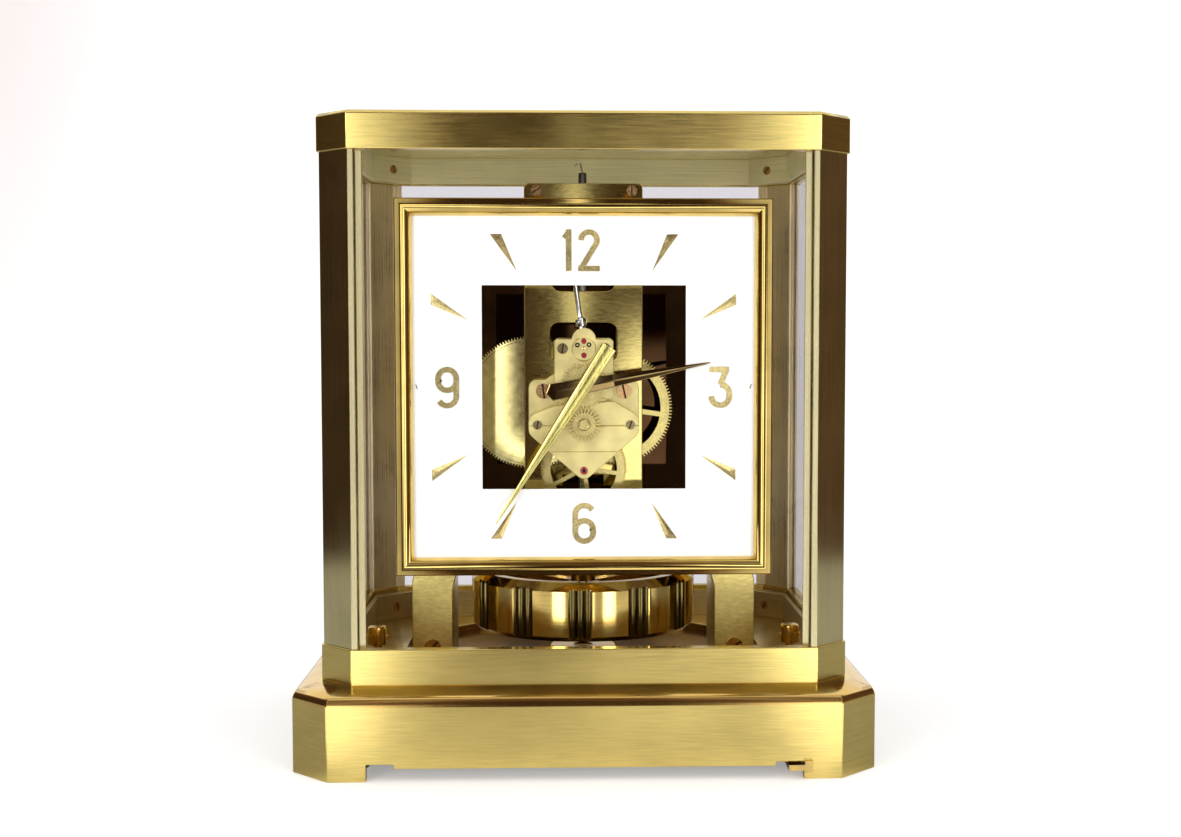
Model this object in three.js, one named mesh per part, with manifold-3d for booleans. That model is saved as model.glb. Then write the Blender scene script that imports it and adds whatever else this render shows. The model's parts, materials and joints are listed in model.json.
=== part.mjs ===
// Atmospheric clock with a torsion pendulum, in an octagonal brass case.
// Millimetres, +Z up. The origin is on the table at the centre of the case,
// the dial looks along -Y, and "front" and "back" below are places along Y.
import * as THREE from 'three';
import { mergeVertices } from 'three/addons/utils/BufferGeometryUtils.js';
import Module from 'manifold-3d';

const wasm = await Module();
wasm.setup();

// Clearances
const overrun = 1;
const running = 0.3;
const arborPlay = 0.25;

// Plinth: a hollow octagonal foot with a deck on top
const plinth = {
  width: 209, depth: 165, chamfer: 14, edgeHeight: 26.4, beadRise: 3.8, beadDepth: 3.2,
  height: 31.9, landing: 1.2, wall: 3, deck: 3, apron: 4.6, footRun: 13.7,
  notchWidth: 9.7, notchRise: 6.1, wellPlay: 4.5, wellPast: 5.8, wellChamfer: 26,
};
// Case bands, posts, glass and inner rings
const caseSize = { ledge: 9.6, chamfer: 12, wall: 4.8 };
const frameBand = { height: 12.9 };
const cap = { headroom: 7.6, edgeHeight: 12.3, bevel: 1.2, overhang: 0.1, plate: 2 };
const post = {
  inset: 0.8, lip: 0.9, flange: 0.9, lipRun: 2, grooveDepth: 0.3, flangeRun: 4.6, thickness: 3.5,
};
const glass = { thickness: 2, play: 0.2 };
const ring = { height: 11, thickness: 2, chamfer: 14.4, play: 0.3 };
const ringBore = { radius: 1.1, spread: 0.5 };
const caseNut = {
  fromSide: 17.5, fromFront: 32.9, headRadius: 3, headHeight: 7.2, neckRadius: 1.9, neckHeight: 8.3,
  pinRadius: 0.6, pinReach: 4.1, rounding: 0.6, pinRise: 3.4,
};
// Levelling feet and pendulum lock, under the deck
const platform = { lap: 6, chamfer: 20, thickness: 3 };
const foot = {
  inset: 20.5, stemRadius: 3, padRadius: 6, padHeight: 3, stemTop: 24,
  discRadius: 11.5, discThickness: 4, discBottom: 6.6, knurls: 24, knurlDepth: 0.6,
  bushRadius: 6, bushGap: 0.4,
};
const lockLever = {
  pivotBeside: 10, pivotFront: 30, thickness: 2, bottom: 3.4, armWidth: 4.6, hubRadius: 5.5,
  pinRadius: 2.5, shoulderRadius: 4.2, headRadius: 4.2, headHeight: 1.4,
  notchSide: 3.2, tabGap: 0.1, tabWidth: 3, tabBottom: 2.7, tabTop: 6.6, tabReach: 1.5,
  rampHeight: 2.5, rampLength: 8.8,
};
const plunger = { rodRadius: 2.2, discRadius: 13.2, discTop: 32.2, discThickness: 2, rim: 0.5 };
// Main frame: a column that parts into two legs round the pendulum
const column = {
  halfWidth: 22.4, top: 213, front: -27, thickness: 5, topRounding: 1.8,
  slotHalf: 11.85, slotBottom: 172.5, slotTop: 198, windowHalf: 12.7, windowRounding: 3,
  windowBottom: 146, windowTop: 160.4, archHalf: 12.7, archBottom: 95, archTop: 111,
};
const leg = {
  inner: 50.2, outer: 65.5, back: 6.7, shoulderTop: 86, shoulderRadius: 24, archTop: 72,
  archRadius: 13, flareRadius: 12, crossTop: 94,
};
const legScrew = {
  height: 36.5, headRadius: 3.27, headThickness: 1.2, shankRadius: 1.5, shankLength: 9,
  slotWidth: 0.9, slotDepth: 0.6,
};
const dialFoot = { radius: 2.4, upperAcross: 18, upperInset: 3.1, lowerAcross: 46, lowerInset: 7.4 };
const drumPost = { radius: 3, across: 16.5, inset: 11.1 };
// Suspension and torsion pendulum, on the vertical axis through the origin
const hanger = { halfWidth: 20, depth: 10, back: 4, bore: 1.5 };
const clamp = { radius: 1.6, height: 6.5, bore: 0.6 };
const wire = { radius: 0.3, tailRise: 4, tailDrop: 1.2, tailLean: 0.8, tailReach: 3.2 };
const tube = {
  radius: 2, bore: 1.1, plugBore: 0.6, plugHeight: 4, bottom: 62, topGap: 2.5,
  pinHeight: 186, pinRadius: 0.5, pinReach: 3.6,
};
const pendulum = {
  radius: 44.2, thickness: 6.5, bottom: 41.3, height: 22.1, topChamfer: 3.2, lowChamfer: 1.8,
  clusters: 12, flutes: 3, flutePitch: 1.95, fluteWidth: 1.5, fluteDepth: 0.55, turn: -2,
  hubRadius: 5, armCount: 4, armWidth: 5, armHeight: 4, armTurn: 45,
  spindleRadius: 1.35, spindleBottom: 34.2,
};
// Arbor places in the plane of the dial, and the hands' own axis height
const handsHeight = 137.1;
const spread = {
  minuteDrop: 14.3, thirdDrop: 31.7, greatDrop: 9.6, greatAcross: 12.6, barrelDrop: 7,
  barrelAcross: 20.2, escapeRise: 11.3, palletRise: 16.5,
};
const arbor = {
  centre: { x: 0, z: handsHeight },
  minute: { x: 0, z: handsHeight - spread.minuteDrop },
  third: { x: 0, z: handsHeight - spread.thirdDrop },
  great: { x: spread.greatAcross, z: handsHeight - spread.greatDrop },
  barrel: { x: -spread.barrelAcross, z: handsHeight - spread.barrelDrop },
  escape: { x: 0, z: handsHeight + spread.escapeRise },
  pallet: { x: 0, z: handsHeight + spread.palletRise },
};
// Tooth counts of the train and the motion work
const teeth = {
  barrel: 135, greatPinion: 42, great: 110, thirdPinion: 19, third: 90, minutePinion: 8,
  minuteWheel: 60, cannon: 7, hourPinion: 25, hour: 35, centre: 48, escapePinion: 12, escape: 15,
};
const tooth = {
  addendumShare: 0.72, dedendumShare: 1.3, leafRootShare: 0.26, leafTipShare: 0.15,
  hollowFromShare: 0.3, hollowToShare: 0.8,
};
// Layers of the movement along Y
const layer = {
  backBridgeFront: -8.6, backBridgeBack: -6.2, barrelFront: -21.4, barrelRim: 2, barrelBack: -13.6,
  greatFront: -13, greatThickness: 1.5, thirdFront: -31.6, thirdThickness: 1.5, thirdPinionBack: -28,
  plateFront: -34.6, plateBack: -32.2, bridgeFront: -40.4, bridgeBack: -38.6,
  upperWheelFront: -38.2, lowerWheelFront: -36.3, wheelThickness: 1, pinionPast: 0.3,
  hourFront: -43.4, hourThickness: 1,
};
const wheelSize = {
  arborRadius: 0.9, rearArborRadius: 1.4, pivotRadius: 0.6, greatHub: 6.8,
  greatRim: 3.6, greatSpoke: 2.6, thirdRim: 2.9, thirdSpoke: 1.5, thirdHub: 3, spokes: 5,
  thirdTurn: 8, greatTurn: -8, centreRim: 1.6, centreSpoke: 1.2, centreHub: 2.4, centreSpokes: 4,
  barrelBody: 23.6, barrelBoss: 4.4, barrelBossRise: 0.4, pipeBore: 1.3, pipeRadius: 1.9,
  hubSteel: 2, hubRise: 1, escapeRadius: 4.1, escapeRoot: 2.9,
};
const bridge = {
  upperHalf: 11, upperTop: 154.4, upperBottom: 132.2, rounding: 1.2, bossRadius: 4.6, bossTop: 158.6,
  discRadius: 4.35, discHeight: 150.6, discRise: 0.5, upperScrewAcross: 7.5, upperFootRadius: 1.9,
  wallWidth: 0.9, wallBottom: 141,
  lobeAcross: 17.3, lobeHeight: 122.5, lobeRadius: 3.3, lowerTop: 131.4, lowerTopLeft: 129.6,
  tipHeight: 105.6, tipRadius: 3.1, rise: 0.5, riseTop: 122.2, riseBottom: 112.5,
};
const basePlate = {
  half: 20.7, top: 154.8, neckHalf: 10.9, neckBottom: 141.4, shoulder: 139.2, shoulderHalf: 17.3,
  corner: 3, bottomHalf: 20.2, sideBottom: 119.5, tipBottom: 109, tipHalf: 6,
  screwAcross: 15.1, screwHeight: 134.9, screwRadius: 2.85, pillarRadius: 2.3,
  lowPillarAcross: 17, lowPillarRise: 2, headThickness: 1,
};
const backBridge = {
  half: 20.6, top: 167, bottom: 96.5, rounding: 4, crossTop: 141, openHalf: 12.9,
  lowerOpenTop: 101, lowerOpenHalf: 8, pillarRadius: 2.5, pillarAcross: 17, upperPillar: 163,
  lowerPillar: 100.5,
};
const lever = {
  lean: -8.2, radius: 1.05, collarRadius: 2.2, collarFrom: 5.7, collarTo: 8.3, reach: 32.8,
  layerPlace: -36.7, forkFront: -9.2, forkBack: -4.1, forkGap: 1.9, tineWidth: 1.1,
  forkThickness: 1.6, anchorThickness: 1, anchorHalf: 4.9, anchorTop: 0.9, anchorUnder: 0.5,
  anchorEnd: 1.2, palletWidth: 0.8, palletDrop: 2.3,
};
// Dial, bezel, numerals and hands
const dial = {
  half: 66, opening: 62.75, windowHalf: 37.55, front: -45.4, thickness: 1.2, centre: 136.6,
};
const bezel = { half: 69, front: -50, back: -42.4, rim: 1.9, play: 0.3, lipDepth: 0.6 };
const numeral = { height: 15.3, stroke: 2, thickness: 0.6, radius: 50.3 };
const digit = {
  oneAcross: -5.6, flagRun: 1.9, flagDrop: 3.1, flagWidth: 1.4, twoAcross: 1.85, twoRadius: 3.95,
  twoTurn: 35, bowlRadius: 4.35, bowlHeight: 9.65, barReach: 3.2, tailEnd: 30,
};
const hourHand = { length: 47.5, tail: 14.4, tailHalf: 3.2, tailShoulder: 12.3, midHalf: 2.3, angle: 79.4 };
const minuteHand = { length: 60.1, tail: 17.3, tailHalf: 2.85, midHalf: 2.3, angle: 212.8 };
const hand = {
  thickness: 0.8, hourFront: -47.9, minuteFront: -49.7, mid: 11, tipHalf: 0.25, bossRadius: 3,
};
// Aneroid drum behind the frame
const drum = {
  radius: 60, front: 6.7, wall: 1.5, plate: 2, fromCase: 14.9, coverThickness: 2, coverLip: 3,
  coverInset: 0.3, chainHole: 2.5,
};
const capsule = { outer: 47, inner: 41, folds: 5, front: 23.8, wall: 0.8 };
const thrust = { radius: 38, front: 21.5, thickness: 2 };
const spring = { radius: 32, wire: 1.2, turns: 3, stepsPerTurn: 8, sides: 5, seat: 0.3 };
const winding = {
  drumRadius: 6, grooveRadius: 4.2, chainRadius: 5, front: -5.6, back: -2.6,
  guideHeight: 150, guideGroove: 3.2, guideChain: 4, guideFlange: 4.6, guideWidth: 3,
  axleRadius: 1, cheekThickness: 1.2, cheekGap: 0.7, cheekHalf: 3, cheekFront: -3, chain: 0.5,
};

// Facet counts
const round = { small: 8, shaft: 12, wheel: 24, large: 48, bend: 4, corner: 3, figure: 10 };

// Finishes
const metal = (color, roughness) => new THREE.MeshStandardMaterial({ color, roughness, metalness: 1 });
const brushedBrass = metal(0xc9a94f, 0.38);
const polishedBrass = metal(0xd4af37, 0.12);
const satinBrass = metal(0xc7a652, 0.3);
const paleBrass = metal(0xdcc478, 0.25);
const copperGilt = metal(0xd08c4a, 0.25);
const steel = metal(0xb8bcc0, 0.2);
const darkSteel = metal(0x4a4a48, 0.35);
const clearGlass = new THREE.MeshStandardMaterial({
  color: 0xdfe8e4, roughness: 0.03, metalness: 0, transparent: true, opacity: 0.25,
});
const whiteLacquer = new THREE.MeshStandardMaterial({ color: 0xf6f6f4, roughness: 0.45, metalness: 0 });

const clock = new THREE.Group();

// A closed mesh of any three.js geometry as a solid that can be joined and cut
function solid(geometry) {
  const bare = geometry.index ? geometry.toNonIndexed() : geometry.clone();
  bare.deleteAttribute('normal');
  bare.deleteAttribute('uv');
  const merged = mergeVertices(bare, 1e-4);
  const p = merged.attributes.position.array;
  const corners = merged.index.array;
  const faces = [];
  let volume = 0;
  for (let i = 0; i < corners.length; i += 3) {
    const [a, b, c] = [corners[i], corners[i + 1], corners[i + 2]];
    if (a === b || b === c || c === a) continue;
    faces.push(a, b, c);
    const [u, v, w] = [a, b, c].map((k) => new THREE.Vector3().fromArray(p, 3 * k));
    volume += u.dot(v.cross(w));
  }
  if (volume < 0) faces.reverse();
  return new wasm.Manifold(new wasm.Mesh({
    numProp: 3, vertProperties: new Float32Array(p), triVerts: new Uint32Array(faces),
  }));
}

// Names a finished solid, gives it its material and hangs it in the clock
function add(name, body, material) {
  const { vertProperties, triVerts } = body.getMesh();
  const geometry = new THREE.BufferGeometry();
  geometry.setAttribute('position', new THREE.BufferAttribute(new Float32Array(vertProperties), 3));
  geometry.setIndex(new THREE.BufferAttribute(new Uint32Array(triVerts), 1));
  geometry.computeVertexNormals();
  const mesh = new THREE.Mesh(geometry, material);
  mesh.name = name;
  clock.add(mesh);
}

const join = (parts) => parts.reduce((whole, part) => whole.add(part));
const cut = (body, tools) => tools.reduce((left, tool) => left.subtract(tool), body);

// A flat outline in the plane of the dial, given thickness between two places along Y
function plate(shape, front, back, curveSegments = round.corner) {
  const depth = back - front;
  const geometry = new THREE.ExtrudeGeometry(shape, { depth, bevelEnabled: false, curveSegments });
  geometry.rotateX(Math.PI / 2);
  geometry.translate(0, back, 0);
  return solid(geometry);
}

// A flat outline seen from above, given height
function slab(shape, bottom, top, curveSegments = round.corner) {
  const depth = top - bottom;
  const geometry = new THREE.ExtrudeGeometry(shape, { depth, bevelEnabled: false, curveSegments });
  geometry.translate(0, 0, bottom);
  return solid(geometry);
}

function block(x0, x1, y0, y1, z0, z1) {
  const geometry = new THREE.BoxGeometry(x1 - x0, y1 - y0, z1 - z0);
  geometry.translate((x0 + x1) / 2, (y0 + y1) / 2, (z0 + z1) / 2);
  return solid(geometry);
}

// Round bars: along Y at a place on the dial plane, along Z at a place on the floor plane
function barY(radius, front, back, at, sides = round.small) {
  const geometry = new THREE.CylinderGeometry(radius, radius, back - front, sides);
  geometry.translate(at.x, (front + back) / 2, at.z);
  return solid(geometry);
}

function barZ(radius, bottom, top, x, y, sides = round.small) {
  const geometry = new THREE.CylinderGeometry(radius, radius, top - bottom, sides);
  geometry.rotateX(Math.PI / 2);
  geometry.translate(x, y, (bottom + top) / 2);
  return solid(geometry);
}

// A round bar between any two points
function rod(from, to, radius, sides = round.small) {
  const along = new THREE.Vector3().subVectors(to, from);
  const geometry = new THREE.CylinderGeometry(radius, radius, along.length(), sides);
  geometry.translate(0, along.length() / 2, 0);
  const turn = new THREE.Quaternion().setFromUnitVectors(new THREE.Vector3(0, 1, 0), along.normalize());
  geometry.applyQuaternion(turn);
  geometry.translate(from.x, from.y, from.z);
  return solid(geometry);
}

// Turned pieces: a profile of [radius, place] pairs round an axis along Y or along Z
function turnedY(profile, at, sides = round.large) {
  const points = profile.map(([r, y]) => new THREE.Vector2(r, y));
  const geometry = new THREE.LatheGeometry(points, sides);
  geometry.translate(at.x, 0, at.z);
  return solid(geometry);
}

function turnedZ(profile, x, y, sides = round.large) {
  const points = profile.map(([r, z]) => new THREE.Vector2(r, z));
  const geometry = new THREE.LatheGeometry(points, sides);
  geometry.rotateX(Math.PI / 2);
  geometry.scale(1, -1, 1);
  geometry.translate(x, y, 0);
  return solid(geometry);
}

// An outline of straight stretches whose corners are rounded: each corner is [x, y, radius]
function roundedShape(corners) {
  const points = corners.flatMap(([x, y, radius = 0], i) => {
    const corner = new THREE.Vector2(x, y);
    if (!radius) return [corner];
    const [px, py] = corners.at(i - 1);
    const [nx, ny] = corners[(i + 1) % corners.length];
    const before = new THREE.Vector2(px - x, py - y).normalize();
    const after = new THREE.Vector2(nx - x, ny - y).normalize();
    const half = Math.acos(before.dot(after)) / 2;
    const middle = before.clone().add(after).setLength(radius / Math.sin(half)).add(corner);
    const way = before.cross(after) < 0 ? 1 : -1;
    const start = before.multiplyScalar(radius / Math.tan(half)).add(corner).sub(middle);
    const sweep = Math.PI - 2 * half;
    const steps = Math.ceil(round.corner * sweep / (Math.PI / 2));
    return Array.from({ length: steps + 1 }, (_, k) => (
      start.clone().rotateAround(new THREE.Vector2(), way * sweep * k / steps).add(middle)
    ));
  });
  return new THREE.Shape(points);
}

// The right half of an outline, bottom to top, completed by its mirror image
function mirroredShape(half) {
  const other = half.map(([x, y, radius]) => [-x, y, radius]).reverse();
  return roundedShape([...half, ...other]);
}

function rectangle(x0, x1, y0, y1, radius = 0) {
  return roundedShape([[x0, y0, radius], [x1, y0, radius], [x1, y1, radius], [x0, y1, radius]]);
}

// Octagons with equal chamfers at the four corners
const octagonOf = (width, depth, chamfer) => ({ x: width / 2, y: depth / 2, chamfer });
const inset = (o, d) => ({ x: o.x - d, y: o.y - d, chamfer: o.chamfer - d * (2 - Math.SQRT2) });

function octagonCorners({ x, y, chamfer }) {
  return [
    [x, y - chamfer], [x - chamfer, y], [chamfer - x, y], [-x, y - chamfer],
    [-x, chamfer - y], [chamfer - x, -y], [x - chamfer, -y], [x, chamfer - y],
  ];
}
const octagonShape = (o) => roundedShape(octagonCorners(o));

// A closed skin over octagons stacked from bottom to top
function octagonLoft(levels) {
  const rings = levels.map(([o, z]) => octagonCorners(o).map(([x, y]) => new THREE.Vector3(x, y, z)));
  const faces = [];
  rings.slice(1).forEach((upper, k) => {
    const lower = rings[k];
    lower.forEach((a, i) => {
      const j = (i + 1) % lower.length;
      faces.push(a, lower[j], upper[j], a, upper[j], upper[i]);
    });
  });
  const [first, last] = [rings[0], rings.at(-1)];
  for (let i = 1; i < first.length - 1; i += 1) {
    faces.push(first[0], first[i + 1], first[i], last[0], last[i], last[i + 1]);
  }
  return solid(new THREE.BufferGeometry().setFromPoints(faces));
}

// Gearing. Teeth are pointed, and the leaves of a pinion are slim bars.
const distance = (a, b) => Math.hypot(a.x - b.x, a.z - b.z);
const bearing = (a, b) => Math.atan2(b.z - a.z, b.x - a.x);
const modulePair = (a, b, wheel, pinion) => 2 * distance(a, b) / (wheel + pinion);

function wheelOutline(count, module, phase) {
  const tip = module * (count / 2 + tooth.addendumShare);
  const root = module * (count / 2 - tooth.dedendumShare);
  const points = [];
  for (let k = 0; k < count; k += 1) {
    const angle = phase + 2 * Math.PI * k / count;
    const gapAngle = angle + Math.PI / count;
    points.push([tip * Math.cos(angle), tip * Math.sin(angle)]);
    points.push([root * Math.cos(gapAngle), root * Math.sin(gapAngle)]);
  }
  return points;
}

function pinionOutline(count, module, phase) {
  const tip = module * (count / 2 + tooth.addendumShare);
  const root = module * (count / 2 - tooth.dedendumShare);
  const step = 2 * Math.PI / count;
  const points = [];
  for (let k = 0; k < count; k += 1) {
    const angle = phase + step * k;
    for (const [radius, side] of [
      [root, -tooth.leafRootShare], [tip, -tooth.leafTipShare],
      [tip, tooth.leafTipShare], [root, tooth.leafRootShare],
    ]) {
      points.push([radius * Math.cos(angle + side * step), radius * Math.sin(angle + side * step)]);
    }
  }
  return points;
}

const placed = (points, at) => roundedShape(points.map(([x, y]) => [x + at.x, y + at.z]));

// Phase of a gear so that a gap of it meets a tooth of its mate on the line of centres
function meshedPhase(at, mateAt, count, mateCount, matePhase) {
  const towards = bearing(mateAt, at);
  const ahead = matePhase - towards;
  return towards + Math.PI + Math.PI / count - ahead * mateCount / count;
}

// Openings between the spokes of a wheel
function spokeGaps(at, hub, rim, spokeWidth, count, turn, front, back) {
  const gaps = [];
  for (let k = 0; k < count; k += 1) {
    const middle = turn + 2 * Math.PI * (k + 0.5) / count;
    const innerHalf = Math.PI / count - spokeWidth / 2 / hub;
    const outerHalf = Math.PI / count - spokeWidth / 2 / rim;
    const shape = new THREE.Shape();
    shape.absarc(at.x, at.z, rim, middle - outerHalf, middle + outerHalf, false);
    shape.absarc(at.x, at.z, hub, middle + innerHalf, middle - innerHalf, true);
    gaps.push(plate(shape, front - overrun, back + overrun));
  }
  return gaps;
}

const radians = THREE.MathUtils.degToRad;
const polar = (radius, angle) => [radius * Math.cos(angle), radius * Math.sin(angle)];

// Case heights and octagons that several pieces share
const deckTop = plinth.height;
const deckBottom = deckTop - plinth.deck;
const bandTop = deckTop + frameBand.height;
const capBottom = column.top + cap.headroom;
const ceiling = capBottom + cap.edgeHeight + cap.bevel - cap.plate;
const plinthOctagon = octagonOf(plinth.width, plinth.depth, plinth.chamfer);
const caseOctagon = octagonOf(
  plinth.width - 2 * caseSize.ledge, plinth.depth - 2 * caseSize.ledge, caseSize.chamfer,
);
const capOctagon = inset(caseOctagon, -cap.overhang);
const bandInner = inset(caseOctagon, caseSize.wall);
// The posts' inner faces set how far the rings' corners reach out
const postOuter = inset(caseOctagon, post.inset);
const diagonal = (o) => o.x + o.y - o.chamfer;
const ringOuter = {
  x: bandInner.x - ring.play, y: bandInner.y - ring.play,
  chamfer: bandInner.x + bandInner.y - 2 * ring.play
    - (diagonal(bandInner) - ring.play * Math.SQRT2),
};
const ringInner = {
  x: ringOuter.x - ring.thickness, y: ringOuter.y - ring.thickness, chamfer: ring.chamfer,
};

// What stands in the plinth's corners, and the well that the frame's legs come down through
const footPlace = { x: plinthOctagon.x - foot.inset, y: foot.inset - plinthOctagon.y };
const nutPlace = { x: caseOctagon.x - caseNut.fromSide, y: caseNut.fromFront - caseOctagon.y };
const skirtX = plinthOctagon.x - plinth.chamfer - plinth.footRun;
const skirtY = plinthOctagon.y - plinth.chamfer - plinth.footRun;
const well = octagonOf(
  2 * (leg.outer + plinth.wellPlay), 2 * (pendulum.radius + plinth.wellPast), plinth.wellChamfer,
);
const leverPivot = new THREE.Vector2(footPlace.x - lockLever.pivotBeside, -lockLever.pivotFront);
const drumBack = caseOctagon.y - drum.fromCase;
const hangerBottom = column.top - hanger.depth;
const tubeTop = hangerBottom - tube.topGap;

// Plinth: one shell with a moulded shoulder, cut-away skirts, notches and a well in its deck
function makePlinth() {
  const beadSteps = round.bend;
  const levels = [[plinthOctagon, 0], [plinthOctagon, plinth.edgeHeight]];
  for (let k = 1; k <= beadSteps; k += 1) {
    const a = (Math.PI / 2) * (k / beadSteps);
    levels.push([
      inset(plinthOctagon, plinth.beadDepth * (1 - Math.cos(a))),
      plinth.edgeHeight + plinth.beadRise * Math.sin(a),
    ]);
  }
  const landing = inset(plinthOctagon, caseSize.ledge - plinth.landing);
  levels.push([landing, deckTop]);
  const hollow = slab(octagonShape(inset(plinthOctagon, plinth.wall)), -overrun, deckBottom);
  const tools = [
    slab(octagonShape(well), deckBottom - overrun, deckTop + overrun),
    block(-skirtX, skirtX, -plinthOctagon.y - overrun, plinthOctagon.y + overrun, -overrun, plinth.apron),
    block(-plinthOctagon.x - overrun, plinthOctagon.x + overrun, -skirtY, skirtY, -overrun, plinth.apron),
  ];
  for (const side of [-1, 1]) {
    const outer = side * skirtX;
    const inner = side * (skirtX - plinth.notchWidth);
    const wallFront = -plinthOctagon.y - overrun;
    const wallBack = -plinthOctagon.y + plinth.wall + overrun;
    tools.push(block(
      Math.min(outer, inner), Math.max(outer, inner), wallFront, wallBack, -overrun, plinth.notchRise,
    ));
    tools.push(barZ(foot.stemRadius + running, 0, deckTop + overrun, side * footPlace.x, footPlace.y));
    tools.push(barZ(
      caseNut.neckRadius + running, deckBottom - overrun, deckTop + overrun, side * nutPlace.x, nutPlace.y,
    ));
  }
  const discTop = foot.discBottom + foot.discThickness;
  const bushes = [-1, 1].map((side) => barZ(
    foot.bushRadius, discTop + foot.bushGap, deckBottom + overrun, side * footPlace.x, footPlace.y,
    round.shaft,
  ));
  add('base_plinth', cut(join([octagonLoft(levels).subtract(hollow), ...bushes]), tools), brushedBrass);
}

// Platform: the plate under the deck that carries the frame's legs and the pendulum lock
function makePlatform() {
  const outline = octagonShape({
    x: well.x + platform.lap, y: well.y + platform.lap, chamfer: platform.chamfer,
  });
  const bottom = deckBottom - platform.thickness;
  const leverTop = lockLever.bottom + lockLever.thickness;
  const { x: px, y: py } = leverPivot;
  const pinBottom = lockLever.bottom - running - lockLever.headHeight;
  const shoulder = lockLever.shoulderRadius;
  const body = join([
    slab(outline, bottom, deckBottom),
    block(0, px, py - shoulder, py + shoulder, bottom, deckBottom),
    barZ(shoulder, leverTop + running, deckBottom, px, py, round.shaft),
    barZ(lockLever.pinRadius, pinBottom, leverTop + overrun, px, py, round.shaft),
    barZ(lockLever.headRadius, pinBottom, pinBottom + lockLever.headHeight, px, py, round.shaft),
  ]);
  const hole = barZ(plunger.rodRadius + running, bottom - overrun, deckBottom + overrun, 0, 0, round.shaft);
  add('platform_plate', cut(body, [hole]), brushedBrass);
}

// Bottom band, cap and the two inner rings that clamp the posts and glass
function makeBands() {
  const band = cut(slab(octagonShape(caseOctagon), deckTop, bandTop), [
    slab(octagonShape(bandInner), deckTop - overrun, bandTop + overrun),
  ]);
  add('case_bottom_frame', band, brushedBrass);
  const capTop = capBottom + cap.edgeHeight;
  const lid = octagonLoft([
    [capOctagon, capBottom], [capOctagon, capTop], [inset(capOctagon, cap.bevel), capTop + cap.bevel],
  ]);
  add('top_cap', cut(lid, [slab(octagonShape(bandInner), capBottom - overrun, ceiling)]), brushedBrass);
  const holeFace = (ringInner.x + ringInner.y - ringInner.chamfer / 2) / 2;
  for (const [name, bottom] of [['lower_inner_ring', deckTop], ['upper_inner_ring', ceiling - ring.height]]) {
    const outer = slab(octagonShape(ringOuter), bottom, bottom + ring.height);
    const inner = slab(octagonShape(ringInner), bottom - overrun, bottom + ring.height + overrun);
    const middle = bottom + ring.height / 2;
    const bores = [[1, 1], [-1, 1], [1, -1], [-1, -1]].map(([sx, sy]) => {
      const cx = sx * (ringInner.x - ringInner.chamfer * ringBore.spread);
      const cy = sy * (ringInner.y - ringInner.chamfer * (1 - ringBore.spread));
      const reach = holeFace / 2;
      const from = new THREE.Vector3(cx - sx * reach / 2, cy - sy * reach / 2, middle);
      const to = new THREE.Vector3(cx + sx * reach / 2, cy + sy * reach / 2, middle);
      return rod(from, to, ringBore.radius);
    });
    add(name, cut(outer, [inner, ...bores]), polishedBrass);
  }
}

// Corner posts: drawn strips whose lips and flanges make the grooves for the glass
function postCorners() {
  const groove = glass.thickness + 2 * glass.play;
  const { x, y, chamfer } = postOuter;
  const shift = x - y;
  const lowY = y - chamfer;
  const webX = x - post.lip - groove - post.flange;
  const web = x + lowY - post.thickness * Math.SQRT2;
  const side = [
    [x, lowY],
    [x, lowY - post.lipRun],
    [x - post.lip, lowY - post.lipRun],
    [x - post.lip, lowY - post.grooveDepth],
    [x - post.lip - groove, lowY - post.grooveDepth],
    [x - post.lip - groove, lowY - post.flangeRun],
    [webX, lowY - post.flangeRun],
    [webX, web - webX],
  ];
  const other = side.map(([px, py]) => [py + shift, px - shift]).reverse();
  return [...side, ...other];
}

function makePosts() {
  const corners = postCorners();
  for (const [name, sx, sy] of [
    ['post_front_left', -1, -1], ['post_front_right', 1, -1],
    ['post_rear_left', -1, 1], ['post_rear_right', 1, 1],
  ]) {
    const shape = roundedShape(corners.map(([x, y]) => [sx * x, sy * y]));
    add(name, slab(shape, bandTop, capBottom), brushedBrass);
  }
}

function makeGlass() {
  const { x, y, chamfer } = postOuter;
  const outerFace = post.lip + glass.play;
  const endY = y - chamfer - post.grooveDepth - running;
  const endX = x - chamfer - post.grooveDepth - running;
  for (const [name, side] of [['left_glass', -1], ['right_glass', 1]]) {
    const near = side * (x - outerFace);
    const far = side * (x - outerFace - glass.thickness);
    add(name, block(Math.min(near, far), Math.max(near, far), -endY, endY, bandTop, capBottom), clearGlass);
  }
  const back = y - outerFace;
  add('back_glass', block(-endX, endX, back - glass.thickness, back, bandTop, capBottom), clearGlass);
}

// Cross-pinned nuts on studs that hold the case down on the plinth
function makeCaseNuts() {
  for (const [name, side] of [['case_nut_left', -1], ['case_nut_right', 1]]) {
    const x = side * nutPlace.x;
    const { y } = nutPlace;
    const headBottom = deckTop + caseNut.neckHeight;
    const headTop = headBottom + caseNut.headHeight;
    const head = turnedZ([
      [0, deckBottom], [caseNut.neckRadius, deckBottom], [caseNut.neckRadius, headBottom],
      [caseNut.headRadius, headBottom], [caseNut.headRadius, headTop - caseNut.rounding],
      [caseNut.headRadius - caseNut.rounding, headTop], [0, headTop],
    ], x, y, round.shaft);
    const pinHeight = headBottom + caseNut.pinRise;
    const pin = rod(
      new THREE.Vector3(x - caseNut.pinReach, y, pinHeight),
      new THREE.Vector3(x + caseNut.pinReach, y, pinHeight), caseNut.pinRadius,
    );
    add(name, head.add(pin), copperGilt);
  }
}

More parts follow.
